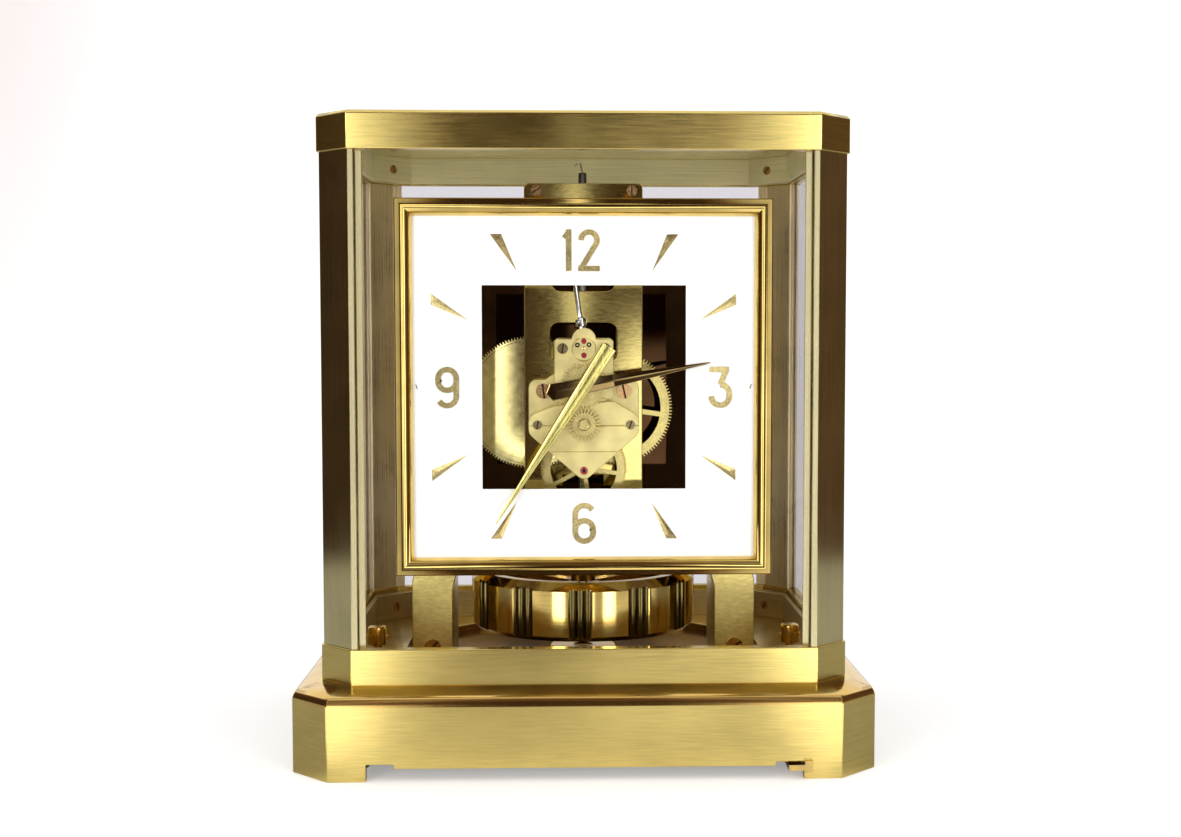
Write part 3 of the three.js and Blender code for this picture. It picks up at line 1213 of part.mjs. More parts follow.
// Numerals: flat gilt figures, each cut as strips of one stroke width along its lines
function makeNumerals() {
  const { height, stroke, radius } = numeral;
  const d = digit;
  const front = dial.front - numeral.thickness;
  const flat = (shape) => plate(shape, front, dial.front);
  const bar = (x0, x1, z0, z1) => flat(rectangle(x0, x1, z0, z1));
  const strip = (points, width = stroke) => {
    const edges = [-1, 1].map((side) => points.map(([x, z], i) => {
      const [px, pz] = points[Math.max(i - 1, 0)];
      const [nx, nz] = points[Math.min(i + 1, points.length - 1)];
      const [u, v] = polar(side * width / 2, Math.atan2(nz - pz, nx - px));
      return [x + v, z - u];
    }));
    return flat(roundedShape([...edges[0], ...edges[1].reverse()]));
  };
  const arc = (x, z, outer, from, to) => {
    const steps = Math.ceil(round.figure * Math.abs(to - from) / 180);
    return Array.from({ length: steps + 1 }, (_, k) => {
      const [u, v] = polar(outer - stroke / 2, radians(from + (to - from) * k / steps));
      return [x + u, z + v];
    });
  };
  // One: a stem with a short flag
  const twelveTop = dial.centre + radius + height / 2;
  const twelveLow = twelveTop - height;
  add('numeral_12_first', join([
    bar(d.oneAcross - stroke / 2, d.oneAcross + stroke / 2, twelveLow, twelveTop),
    strip([
      [d.oneAcross, twelveTop - d.flagWidth / 2], [d.oneAcross - d.flagRun, twelveTop - d.flagDrop],
    ], d.flagWidth),
  ]), polishedBrass);
  // Two: a hook that runs down into a foot
  const twoLeft = d.twoAcross - d.twoRadius;
  add('numeral_12_second', join([
    strip([
      ...arc(d.twoAcross, twelveTop - d.twoRadius, d.twoRadius, 180, -d.twoTurn),
      [twoLeft + stroke / 2, twelveLow + stroke / 2],
    ]),
    bar(twoLeft, twoLeft + 2 * d.twoRadius, twelveLow, twelveLow + stroke),
  ]), polishedBrass);
  // Three: a level bar, a slanting stroke and an open bowl
  const threeLow = dial.centre - height / 2;
  const threeTop = threeLow + height;
  const bowlTop = (low) => low + d.bowlHeight - d.bowlRadius;
  add('numeral_3', join([
    bar(radius - d.bowlRadius + stroke / 5, radius + d.barReach, threeTop - stroke, threeTop),
    strip([
      [radius + d.barReach - stroke / 2, threeTop - stroke / 2],
      [radius, threeLow + d.bowlHeight - stroke / 2],
    ]),
    strip([
      ...arc(radius, bowlTop(threeLow), d.bowlRadius, 90, 0),
      ...arc(radius, threeLow + d.bowlRadius, d.bowlRadius, 0, -180),
    ]),
  ]), polishedBrass);
  // Six and nine: a closed bowl whose side runs on into a curved tail, the nine turned over
  const bowlWithTail = (x, low) => join([
    strip([
      ...arc(x, low + height - d.bowlRadius, d.bowlRadius, d.tailEnd, 180),
      ...arc(x, low + d.bowlRadius, d.bowlRadius, 180, 360),
      [x + d.bowlRadius - stroke / 2, bowlTop(low)],
    ]),
    strip(arc(x, bowlTop(low), d.bowlRadius, 0, 180)),
  ]);
  add('numeral_6', bowlWithTail(0, dial.centre - radius - height / 2), polishedBrass);
  const nine = bowlWithTail(0, -height / 2).rotate([0, 180, 0]);
  add('numeral_9', nine.translate([-radius, 0, dial.centre]), polishedBrass);
}

// Hands: outlines along +X from the hands' axis, turned clockwise from twelve
function makeHand(name, outline, size, front, boreRadius, material) {
  const turn = Math.PI / 2 - radians(size.angle);
  const at = arbor.centre;
  const turned = outline.map(([u, v]) => [
    at.x + u * Math.cos(turn) - v * Math.sin(turn), at.z + u * Math.sin(turn) + v * Math.cos(turn),
  ]);
  const body = plate(roundedShape(turned), front, front + hand.thickness);
  const withBoss = boreRadius
    ? body.add(barY(hand.bossRadius, front, front + hand.thickness, at, round.shaft))
      .subtract(barY(boreRadius, front - overrun, front + hand.thickness + overrun, at, round.shaft))
    : body;
  add(name, withBoss, material);
}

function makeHands() {
  const h = hourHand;
  makeHand('hour_hand', [
    [-h.tail, 0], [-h.tailShoulder, -h.tailHalf], [hand.mid, -h.midHalf], [h.length, -hand.tipHalf],
    [h.length, hand.tipHalf], [hand.mid, h.midHalf], [-h.tailShoulder, h.tailHalf],
  ], h, hand.hourFront, wheelSize.pipeBore, polishedBrass);
  const m = minuteHand;
  makeHand('minute_hand', [
    [-m.tail, -m.tailHalf], [hand.mid, -m.midHalf], [m.length, -hand.tipHalf], [m.length, hand.tipHalf],
    [hand.mid, m.midHalf], [-m.tail, m.tailHalf],
  ], m, hand.minuteFront, 0, polishedBrass);
}

// Bellows drum: a polished cup with cheeks for the guide pulley, closed by a cover
const drumAxis = { x: 0, z: handsHeight };
const chainX = arbor.barrel.x + winding.chainRadius;
const chainTop = winding.guideHeight + winding.guideChain;

function makeDrum() {
  const plateBack = drum.front + drum.plate;
  const shell = turnedY([
    [0, drum.front], [drum.radius, drum.front], [drum.radius, drumBack],
    [drum.radius - drum.wall, drumBack], [drum.radius - drum.wall, plateBack], [0, plateBack],
  ], drumAxis);
  const w = winding;
  const cheeks = [];
  for (const side of [-1, 1]) {
    const near = chainX + side * (w.guideWidth / 2 + w.cheekGap);
    const far = near + side * w.cheekThickness;
    cheeks.push(block(
      Math.min(near, far), Math.max(near, far), w.cheekFront, drum.front + overrun,
      w.guideHeight - w.cheekHalf, w.guideHeight + w.cheekHalf,
    ));
  }
  const axleY = (w.front + w.back) / 2 + w.guideChain;
  const reach = w.guideWidth / 2 + w.cheekGap + w.cheekThickness + overrun;
  const axle = rod(
    new THREE.Vector3(chainX - reach, axleY, w.guideHeight),
    new THREE.Vector3(chainX + reach, axleY, w.guideHeight), w.axleRadius + running,
  );
  const hole = barY(drum.chainHole, drum.front - overrun, plateBack + overrun, { x: chainX, z: chainTop });
  add('bellows_drum', cut(join([shell, ...cheeks]), [axle, hole]), polishedBrass);
  const lipOuter = drum.radius - drum.wall - drum.coverInset;
  add('drum_cover', turnedY([
    [0, drumBack], [lipOuter - drum.wall, drumBack], [lipOuter - drum.wall, drumBack - drum.coverLip],
    [lipOuter, drumBack - drum.coverLip], [lipOuter, drumBack], [drum.radius, drumBack],
    [drum.radius, drumBack + drum.coverThickness], [0, drumBack + drum.coverThickness],
  ], drumAxis), brushedBrass);
}

// Bellows capsule: a pleated cup whose open end is soldered to the drum's cover
function makeCapsule() {
  const c = capsule;
  const length = drumBack - c.front;
  const pitch = (length - c.wall) / (2 * c.folds);
  const outer = [];
  const inner = [];
  for (let k = 0; k <= 2 * c.folds; k += 1) {
    const r = k % 2 ? c.outer : c.inner;
    outer.push([r, c.front + c.wall + k * pitch]);
    inner.push([r - c.wall * 2, c.front + c.wall + k * pitch]);
  }
  const profile = [
    [0, c.front], [c.inner, c.front], ...outer, ...inner.reverse(), [0, c.front + c.wall],
  ];
  add('bellows_capsule', turnedY(profile, drumAxis, round.wheel), satinBrass);
  const plateBack = thrust.front + thrust.thickness;
  add('thrust_plate', barY(thrust.radius, thrust.front, plateBack, drumAxis, round.wheel), steel);
}

// Expansion spring between the drum's front and the thrust plate
class Coil extends THREE.Curve {
  getPoint(t, target = new THREE.Vector3()) {
    const angle = 2 * Math.PI * spring.turns * t;
    const first = drum.front + drum.plate + spring.seat + spring.wire;
    const last = thrust.front - spring.seat - spring.wire;
    return target.set(
      drumAxis.x + spring.radius * Math.cos(angle), first + (last - first) * t,
      drumAxis.z + spring.radius * Math.sin(angle),
    );
  }
}

function makeSpring() {
  const steps = spring.turns * spring.stepsPerTurn;
  const section = new THREE.Shape();
  for (let k = 0; k < spring.sides; k += 1) {
    const [u, v] = polar(spring.wire, 2 * Math.PI * k / spring.sides);
    if (k) section.lineTo(u, v);
    else section.moveTo(u, v);
  }
  const geometry = new THREE.ExtrudeGeometry(section, {
    steps, extrudePath: new Coil(), bevelEnabled: false,
  });
  add('expansion_spring', solid(geometry), steel);
  const run = thrust.front - drum.front - drum.plate - 2 * (spring.seat + spring.wire);
  const gap = run / spring.turns - 2 * spring.wire;
  console.log(`least gap between the spring's turns: ${gap.toFixed(2)} mm`);
}

// Chain from the winding drum up over the guide pulley and back to the thrust plate
function makeChain() {
  const w = winding;
  const y0 = (w.front + w.back) / 2;
  const points = [
    new THREE.Vector3(chainX, y0, arbor.barrel.z), new THREE.Vector3(chainX, y0, w.guideHeight),
  ];
  const steps = round.bend;
  for (let k = 1; k <= steps; k += 1) {
    const a = (Math.PI / 2) * (k / steps);
    points.push(new THREE.Vector3(
      chainX, y0 + w.guideChain * (1 - Math.cos(a)), w.guideHeight + w.guideChain * Math.sin(a),
    ));
  }
  points.push(new THREE.Vector3(chainX, thrust.front - running, chainTop));
  const links = points.slice(1).map((to, k) => rod(points[k], to, w.chain, round.bend));
  add('winding_chain', join(links), steel);
  const half = w.guideWidth / 2;
  const groove = w.chain + running;
  const pulley = new THREE.LatheGeometry([
    [0, -half], [w.guideFlange, -half], [w.guideGroove, -groove], [w.guideGroove, groove],
    [w.guideFlange, half], [0, half],
  ].map(([r, y]) => new THREE.Vector2(r, y)), round.shaft);
  pulley.rotateZ(Math.PI / 2);
  pulley.translate(chainX, y0 + w.guideChain, w.guideHeight);
  const reach = half + w.cheekGap + w.cheekThickness;
  const axle = rod(
    new THREE.Vector3(chainX - reach, y0 + w.guideChain, w.guideHeight),
    new THREE.Vector3(chainX + reach, y0 + w.guideChain, w.guideHeight), w.axleRadius,
  );
  add('guide_pulley', solid(pulley).add(axle), paleBrass);
}

makePlinth();
makePlatform();
makeBands();
makePosts();
makeGlass();
makeCaseNuts();
makeLevelling();
makeLock();
makeFrame();
makeLegScrews();
makeSuspension();
makePendulum();
makeMovementPlate();
makeMovementScrews();
makeUpperBridge();
makeLowerBridge();
makeBackBridge();
makeBarrel();
makeWindingArbor();
makeGreatWheel();
makeThirdWheel();
makeMinuteWheel();
makeHourWheel();
makeCentreArbor();
makeEscapeWheel();
makePalletLever();
makeDial();
makeNumerals();
makeHands();
makeDrum();
makeCapsule();
makeSpring();
makeChain();

export default clock;
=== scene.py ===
import json
import math

import bmesh
import bpy
from mathutils import Euler, Matrix, Vector


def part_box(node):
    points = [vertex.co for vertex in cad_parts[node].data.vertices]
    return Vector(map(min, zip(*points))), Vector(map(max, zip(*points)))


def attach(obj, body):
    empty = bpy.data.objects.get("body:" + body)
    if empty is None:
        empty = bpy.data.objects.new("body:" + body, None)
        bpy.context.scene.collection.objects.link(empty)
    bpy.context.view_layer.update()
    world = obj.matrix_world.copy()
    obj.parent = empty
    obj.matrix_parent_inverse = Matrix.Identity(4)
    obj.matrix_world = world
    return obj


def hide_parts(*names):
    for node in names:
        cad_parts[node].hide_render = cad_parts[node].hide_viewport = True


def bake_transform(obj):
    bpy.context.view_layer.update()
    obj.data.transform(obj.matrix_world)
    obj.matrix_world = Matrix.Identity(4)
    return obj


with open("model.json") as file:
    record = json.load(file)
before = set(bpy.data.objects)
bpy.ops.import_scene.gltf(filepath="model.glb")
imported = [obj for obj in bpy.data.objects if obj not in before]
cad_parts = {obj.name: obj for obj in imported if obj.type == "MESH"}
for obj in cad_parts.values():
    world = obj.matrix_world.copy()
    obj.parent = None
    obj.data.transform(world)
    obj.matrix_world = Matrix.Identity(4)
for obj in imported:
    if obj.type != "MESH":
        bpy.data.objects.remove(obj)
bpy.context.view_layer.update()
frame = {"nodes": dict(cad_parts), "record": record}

scene = bpy.context.scene
MM = 0.001
WHITE = (1.0, 1.0, 1.0, 1.0)

# Camera. It stands a little left of the clock's centre and above its middle, where the
# photograph was taken, and its lens gives the photograph's frame of 1181 by 837.
PHOTO_WIDTH = 1181
LENS_PX = 1585.5
SENSOR = 36.0
NEAREST, FARTHEST = 0.02, 50.0
camera_place = Vector((-7.11, -629.72, 157.05)) * MM
camera_yaw, camera_pitch = 0.0315, -0.0624
lens_offset = Vector((24.24, 12.47)) / PHOTO_WIDTH


def linked(name, data):
    """An object in the scene that holds this mesh, lamp or camera."""
    thing = bpy.data.objects.new(name, data)
    scene.collection.objects.link(thing)
    return thing


camera_data = bpy.data.cameras.new("camera")
camera_data.sensor_width = SENSOR
camera_data.lens = LENS_PX / PHOTO_WIDTH * SENSOR
camera_data.shift_x, camera_data.shift_y = -lens_offset.x, lens_offset.y
camera_data.clip_start, camera_data.clip_end = NEAREST, FARTHEST
camera = linked("camera", camera_data)
camera.location = camera_place
camera.rotation_euler = Euler((math.pi / 2 + camera_pitch, 0, -camera_yaw))
scene.camera = camera
scene.view_settings.view_transform = "Standard"


# Studio. A white cloth lies under the clock and hangs behind it. White screens and lamps at
# both sides of the camera, and the dark room between them, show as reflections in the metal.
class Signal:
    """A socket whose value changes over a surface. Sums written with it add Math nodes."""

    def __init__(self, tree, socket):
        self.tree = tree
        self.socket = socket

    def math(self, operation, *others):
        return self.tree.add("ShaderNodeMath", [self, *others], operation=operation)

    def __add__(self, other):
        return self.math("ADD", other)

    def __sub__(self, other):
        return self.math("SUBTRACT", other)

    def __rsub__(self, other):
        return self.tree.add("ShaderNodeMath", [other, self], operation="SUBTRACT")

    def __mul__(self, other):
        return self.math("MULTIPLY", other)

    __radd__ = __add__
    __rmul__ = __mul__

    def rise(self, low, high):
        """0 below low, 1 above high, with a smooth climb between."""
        return self.tree.add("ShaderNodeMapRange", [self, low, high], interpolation_type="SMOOTHSTEP")

    def between(self, low, full, fading, gone):
        """1 from full to fading, 0 below low and above gone."""
        return self.rise(low, full) * (1.0 - self.rise(fading, gone))


class Tree:
    """Adds nodes to a shader or geometry tree, with values or links, and then settings."""

    def __init__(self, tree):
        self.tree = tree

    def add(self, kind, values=(), output=0, **settings):
        node = self.tree.nodes.new(kind)
        for name, value in settings.items():
            setattr(node, name, value)
        pairs = values.items() if isinstance(values, dict) else enumerate(values)
        for key, value in pairs:
            if isinstance(value, Signal):
                self.tree.links.new(value.socket, node.inputs[key])
            else:
                node.inputs[key].default_value = value
        return Signal(self, node.outputs[output]) if len(node.outputs) else node

    def place(self):
        """The point on the piece."""
        return self.add("ShaderNodeTexCoord", output="Object")

    def axis(self, vector, index):
        return self.add("ShaderNodeSeparateXYZ", [vector], output=index)

    def xyz(self, *parts):
        return self.add("ShaderNodeCombineXYZ", parts)

    def vector(self, operation, *values, output=0):
        return self.add("ShaderNodeVectorMath", values, output, operation=operation)

    def noise(self, vector, scale, detail):
        return self.add("ShaderNodeTexNoise", {"Vector": vector, "Scale": scale, "Detail": detail})

    def rays(self):
        """1 for what the camera sees itself, in a reflection and through glass."""
        kinds = ("Camera", "Glossy", "Transmission")
        return [self.add("ShaderNodeLightPath", output=f"Is {kind} Ray") for kind in kinds]

    def surface(self, shader):
        self.add("ShaderNodeOutputMaterial", [shader])

    def blend(self, share, first, second):
        """A colour between two, by share."""
        return self.add("ShaderNodeMix", {0: share, 6: first, 7: second}, output=2, data_type="RGBA")

    def moved(self, geometry, offset):
        return self.add("GeometryNodeTransform", {"Geometry": geometry, "Translation": offset})

    def joined(self, *parts):
        node = self.tree.nodes.new("GeometryNodeJoinGeometry")
        for part in parts:
            self.tree.links.new(part.socket, node.inputs[0])
        return Signal(self, node.outputs[0])


def new_material(name):
    """A material and its empty tree."""
    material = bpy.data.materials.new(name)
    material.use_nodes = True
    material.node_tree.nodes.clear()
    return material, Tree(material.node_tree)


# Degrees: heading is from the way to the camera, climb from the horizon, and off_centre from
# an upright line behind the camera that ends 7 below it.
world = bpy.data.worlds.new("studio")
scene.world = world
world.use_nodes = True
world.node_tree.nodes.clear()
sky = Tree(world.node_tree)
direction = sky.add("ShaderNodeTexCoord")
axes = [sky.axis(direction, k) for k in range(3)]
heading = axes[0].math("ARCTAN2", axes[1] * -1.0) * math.degrees(1.0)
climb = axes[2].math("ARCSINE") * math.degrees(1.0)
round_foot = (-7.0 - climb).math("MAXIMUM", 0.0) * 1.1
off_centre = ((heading - 0.4) * (heading - 0.4) + round_foot * round_foot).math("SQRT")
screens = off_centre.rise(4.2, 8.2) * 1.0 - off_centre.rise(10.2, 11.6) * 0.55
screens = screens + off_centre.between(7.6, 9.2, 10.0, 11.2) * 2.0
screens = screens * (1.0 - climb.rise(12.0, 18.0) * (1.0 - off_centre.rise(14.0, 19.0)) * 0.9)
screens = screens + off_centre.between(19.0, 20.6, 30.0, 33.0) * climb.between(-13.0, -10.0, 34.0, 40.0) * 5.0
screens = screens - off_centre.rise(33.0, 44.0) * 0.2 - off_centre.rise(46.0, 62.0) * 0.25
gap_in_curtain = heading.between(-0.15, 0.30, 0.58, 0.72) * climb.between(-3.2, -1.0, 5.2, 6.4) * 1.3
low_screen = (heading - climb * 0.26).between(2.0, 2.7, 6.0, 8.0) * climb.between(-7.5, -6.0, -1.2, 0.6)
low_screen = low_screen * (1.0 - off_centre.rise(5.2, 6.4)) * 1.7
rear_sweep = off_centre.rise(106.0, 128.0) * 0.95 + heading.between(50.0, 75.0, 95.0, 115.0) * 0.06
overhead = climb.rise(24.0, 50.0) * 0.07 + climb.rise(60.0, 82.0) * 0.35
room_level = screens + gap_in_curtain + low_screen + (rear_sweep + overhead).math("MINIMUM", 0.9) + 0.045
dark_room = (1.0, 0.60, 0.36, 1.0)
room_tint = sky.blend(room_level.rise(0.05, 0.5), dark_room, WHITE)
room, white, soft = (
    sky.add("ShaderNodeBackground", {"Color": colour, "Strength": strength})
    for colour, strength in ((room_tint, room_level), (WHITE, 1.0), (WHITE, 0.9))
)
seen, mirrored, through_glass = sky.rays()
lit = sky.add("ShaderNodeMixShader", [mirrored, soft, room])
behind = seen.math("MAXIMUM", through_glass)
sky.add("ShaderNodeOutputWorld", [sky.add("ShaderNodeMixShader", [behind, lit, white])])

lamp_size = (0.3, 0.36)
lamp_aside, lamp_before, lamp_height = 0.58, 1.0, 0.2
lit_point = Vector((0, 0, 0.1))
for side, energy in ((-1, 3.4), (1, 2.9)):
    lamp_data = bpy.data.lights.new("soft_lamp", "AREA")
    lamp_data.shape = "RECTANGLE"
    lamp_data.size, lamp_data.size_y = lamp_size
    lamp_data.energy = energy
    lamp = linked("soft_lamp", lamp_data)
    lamp.location = (side * lamp_aside, -lamp_before, lamp_height)
    lamp.rotation_euler = (lit_point - lamp.location).to_track_quat("-Z", "Y").to_euler()
    lamp.visible_glossy = False


def sweep_mesh(width, front, back, rise, bend, steps=16):
    """A sheet that lies flat under the clock and curves up behind it."""
    rows = [(front, 0.0), (back - bend, 0.0)]
    for k in range(1, steps + 1):
        turn = math.pi / 2 * k / steps
        rows.append((back - bend + bend * math.sin(turn), bend - bend * math.cos(turn)))
    rows.append((back, rise))
    mesh = bpy.data.meshes.new("sweep")
    corners = [(side * width / 2, y, z) for y, z in rows for side in (-1, 1)]
    faces = [(2 * k, 2 * k + 1, 2 * k + 3, 2 * k + 2) for k in range(len(rows) - 1)]
    mesh.from_pydata(corners, [], faces)
    mesh.shade_smooth()
    return mesh


def white_cloth(name, lift, near=(0.92, 0.92, 0.92, 1.0)):
    """Matt white cloth with painted pink fold shade at the left, lifted to white for the camera."""
    material, t = new_material(name)
    place = t.place()
    along, depth, upward = (t.axis(place, k) for k in range(3))
    # Painted shade: pink-grey fold shading darkens the cloth towards the left, in its colour and in its glow.
    fold_painted_shade = t.noise(t.vector("MULTIPLY", place, (2.6, 0.4, 0.5)), 1.0, 3.0)
    left = (1.0 - along.rise(-1.5, -0.15)) * upward.rise(0.02, 0.25)
    shade = (fold_painted_shade.rise(0.3, 0.7) * 0.5 + 0.5) * left
    tint = t.blend(shade, near, (0.80, 0.74, 0.725, 1.0))
    glow = t.blend(shade, WHITE, (0.80, 0.72, 0.70, 1.0))
    seen, mirrored, through_glass = t.rays()
    strength = seen.math("MAXIMUM", mirrored).math("MAXIMUM", through_glass) * lift
    if not lift:
        # Painted shadow and painted light on the table seen only in reflections: it is darkened near the
        # clock at both sides and in front at the middle, and made to glow in front at both sides.
        nearby = depth.rise(-0.125, -0.095)
        aside = along.math("ABSOLUTE")
        painted_table_shadow = nearby * aside.rise(0.08, 0.11) * 0.6
        painted_table_shadow = painted_table_shadow + (1.0 - nearby) * (1.0 - aside.rise(0.055, 0.10)) * 0.30
        tint = t.blend(painted_table_shadow, tint, (0.0, 0.0, 0.0, 1.0))
        strength = (1.0 - nearby) * aside.rise(0.07, 0.10) * 0.6
    matt = t.add("ShaderNodeBsdfDiffuse", {"Color": tint})
    shining = t.add("ShaderNodeEmission", {"Color": glow, "Strength": strength})
    t.surface(t.add("ShaderNodeAddShader", [matt, shining]))
    return material


def sheet(name, mesh, lift, **tone):
    piece = linked(name, mesh)
    piece.data.materials.append(white_cloth(name + "_cloth", lift, **tone))
    return piece


sweep = sheet("sweep", sweep_mesh(width=9.0, front=-4.0, back=3.0, rise=4.0, bend=1.2), 0.30)
sweep.visible_glossy = False
table_sheet = sweep_mesh(width=1.2, front=-0.27, back=0.62, rise=0.2 * MM, bend=0.1 * MM)
table_top = sheet("table_top", table_sheet, 0.0, near=WHITE)
table_top.data.transform(Matrix.Translation((0, 0, 0.1 * MM)))
for kind in ("camera", "diffuse", "transmission", "shadow"):
    setattr(table_top, "visible_" + kind, False)


# Plinth. A hollow octagonal foot of sheet brass with a moulded shoulder, brushed along
# its length and lacquered, cut away below so that it stands on its corners.
node_body = {n: body for body, nodes in frame["record"]["behaviour"]["bodies"].items() for n in nodes}
MERGED = 0.001 * MM
FLAT = math.radians(0.5)


def metal(name, colour, roughness, grain, mottle=0.0, sheen=0.0, dull=0.0):
    """Metal with fine lines of the given spacing along X, Y and Z, in millimetres."""
    material, t = new_material(name)
    place = t.place()
    upward = t.axis(t.add("ShaderNodeNewGeometry", output="Normal"), 2).math("ABSOLUTE").rise(0.5, 0.8)

    def lines(spacing, detail):
        scale = tuple(1.0 / (s * MM) for s in spacing)
        return t.noise(t.vector("MULTIPLY", place, scale), 1.0, detail)

    on_walls = lines(grain, 3.0)
    on_tops = lines((grain[0], grain[2], grain[1]), 3.0)
    line = on_walls * (1.0 - upward) + on_tops * upward
    cloud = lines((22.0, 22.0, 22.0), 4.0)
    shade = (line - 0.5) * 0.8 + (cloud - 0.5) * (0.5 + mottle) + 0.5
    dark = tuple(c * (0.80 - 0.3 * mottle) for c in colour)
    tint = t.blend(shade.rise(0.25, 0.75), (*dark, 1.0), (*colour, 1.0))
    rough = (line - 0.5) * (0.5 * roughness) + (cloud - 0.5) * (0.5 * roughness) + roughness
    bump = t.add("ShaderNodeBump", {"Strength": 0.18, "Distance": 0.02 * MM, "Height": line})
    body = t.add("ShaderNodeBsdfPrincipled", {
        "Base Color": tint, "Metallic": 1.0 - dull, "Roughness": rough, "Normal": bump,
        "Anisotropic": sheen, "Anisotropic Rotation": 0.25,
    })
    t.surface(body)
    return material


def plain(piece):
    """Bakes a piece's modifiers into its mesh."""
    graph = bpy.context.evaluated_depsgraph_get()
    mesh = bpy.data.meshes.new_from_object(piece.evaluated_get(graph), depsgraph=graph)
    piece.modifiers.clear()
    piece.data = mesh
    return piece


def settle(piece, finish, nodes=(), body=None, between=()):
    """Gives a finished piece its material and its body, or bakes it in place when between is given, and hides
    the CAD nodes that it stands for.
    """
    piece.data.materials.clear()
    piece.data.materials.append(finish)
    if between:
        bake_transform(piece)
    else:
        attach(piece, body or node_body[nodes[0]])
    if nodes:
        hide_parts(*nodes)
    return piece


def dress(piece, edge=0.0, angle=35.0):
    """Breaks the edges of a mesh by some millimetres and shades its round faces smooth."""
    if edge:
        bevel = piece.modifiers.new("edge", "BEVEL")
        bevel.width = edge * MM
        bevel.segments = 2
        bevel.limit_method = "ANGLE"
        bevel.angle_limit = math.radians(angle)
        bevel.use_clamp_overlap = False
    piece.data.shade_smooth()
    piece.data.set_sharp_from_angle(angle=math.radians(angle))
    piece.modifiers.new("normals", "WEIGHTED_NORMAL").keep_sharp = True
    return plain(piece)


def flattened(mesh, weld):
    """Clears needless edges from flat faces, after a weld or before they are turned outward."""
    shell = bmesh.new()
    shell.from_mesh(mesh)
    if weld:
        bmesh.ops.remove_doubles(shell, verts=shell.verts, dist=MERGED)
    bmesh.ops.dissolve_limit(shell, angle_limit=FLAT, verts=shell.verts, edges=shell.edges)
    if not weld:
        bmesh.ops.recalc_face_normals(shell, faces=shell.faces)
    shell.to_mesh(mesh)
    shell.free()
    return mesh


def machined(node, finish, edge=0.25, angle=35.0, between=()):
    """A CAD piece with its sharp edges broken, in its finish."""
    mesh = flattened(frame["nodes"][node].data.copy(), weld=True)
    piece = dress(linked(node + "_finished", mesh), edge, angle)
    return settle(piece, finish, [node], between=between)


def refinish(piece, finish, chosen):
    """Gives the faces that chosen picks a second finish."""
    piece.data.materials.append(finish)
    for face in piece.data.polygons:
        if chosen(face):
            face.material_index = 1


case_brass = metal("case_brass", (1.0, 0.78, 0.26), 0.16, (14.0, 14.0, 0.4), 0.1, 1.0)
moulding_brass = metal("moulding_brass", (1.0, 0.66, 0.21), 0.12, (30.0, 30.0, 0.3), 0.15, 0.6)
deck_brass = metal("deck_brass", (0.40, 0.27, 0.15), 0.18, (30.0, 30.0, 0.4), 0.2)
moulding_foot, moulding_reach = 26.6 * MM, 80 * MM
plinth = machined("base_plinth", case_brass, 0.35)
refinish(plinth, moulding_brass, lambda face: (
    face.center.z > moulding_foot and abs(face.center.x) + abs(face.center.y) > moulding_reach
))
machined("platform_plate", deck_brass)

# Case. The bottom band and the cap are bent octagons of the same brushed brass, joined by
# drawn corner posts that are polished on the outside and grooved for the panes.
post_grain = (0.35, 0.35, 40.0)
post_brass = metal("post_brass", (0.86, 0.74, 0.38), 0.12, post_grain, 0.2)
# The front posts' front-facing faces get a darker, duller copy of the post brass: painted shade.
front_post_painted_shade_brass = metal("front_post_painted_shade_brass", (0.62, 0.54, 0.31), 0.2, post_grain, 0.1)
rear_post_brass = metal("rear_post_brass", (0.92, 0.76, 0.44), 0.3, post_grain, 0.2, dull=0.5)
machined("case_bottom_frame", case_brass, 0.3)
cap = machined("top_cap", case_brass, 0.3)
for row, inner_finish, limit in (("front", front_post_painted_shade_brass, -0.9), ("rear", rear_post_brass, 0.5)):
    for side in ("left", "right"):
        post = machined(f"post_{row}_{side}", post_brass, 0.15)
        refinish(post, inner_finish, lambda face: face.normal.y < limit)

# Inner rings. Two pale gilt frames inside the band and the cap clamp the posts, each held
# by a slotted screw through every corner face.
ring_grain = (30.0, 30.0, 0.4)
ring_brass = metal("ring_brass", (1.0, 0.92, 0.50), 0.45, ring_grain, 0.05, dull=0.85)
lower_ring_brass = metal("lower_ring_brass", (0.72, 0.56, 0.27), 0.35, ring_grain, 0.1, dull=0.3)
# The cap's underside gets a paler, partly matt copy of the case brass: painted light that brightens the
# ceiling inside the case.
ceiling_painted_light_brass = metal("ceiling_painted_light_brass", (1.0, 0.90, 0.50), 0.25, ring_grain, 0.05, dull=0.3)
screw_brass = metal("screw_brass", (0.85, 0.55, 0.26), 0.2, (0.5, 0.5, 0.5))
slot_shadow = metal("slot_shadow", (0.05, 0.032, 0.016), 0.35, (0.5, 0.5, 0.5))
machined("upper_inner_ring", ring_brass, 0.2)
machined("lower_inner_ring", lower_ring_brass, 0.2)
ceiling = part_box("upper_inner_ring")[1].z - 0.5 * MM
refinish(cap, ceiling_painted_light_brass, lambda face: face.normal.z < -0.99 and face.center.z > ceiling)


def node_group(name, inputs):
    """A Geometry Nodes group, its tree and a signal for each of its inputs."""
    group = bpy.data.node_groups.new(name, "GeometryNodeTree")
    for kind, ports in inputs:
        for port in ports:
            group.interface.new_socket(port, in_out="INPUT", socket_type="NodeSocket" + kind)
    group.interface.new_socket("Geometry", in_out="OUTPUT", socket_type="NodeSocketGeometry")
    t = Tree(group)
    entry = group.nodes.new("NodeGroupInput")
    return group, t, {s.name: Signal(t, s) for s in entry.outputs if s.name}


def group_end(t, geometry, finish):
    """Ends a group in real geometry with a material."""
    real = t.add("GeometryNodeRealizeInstances", [geometry])
    dressed = t.add("GeometryNodeSetMaterial", {"Geometry": real, "Material": finish})
    t.add("NodeGroupOutput", [dressed])


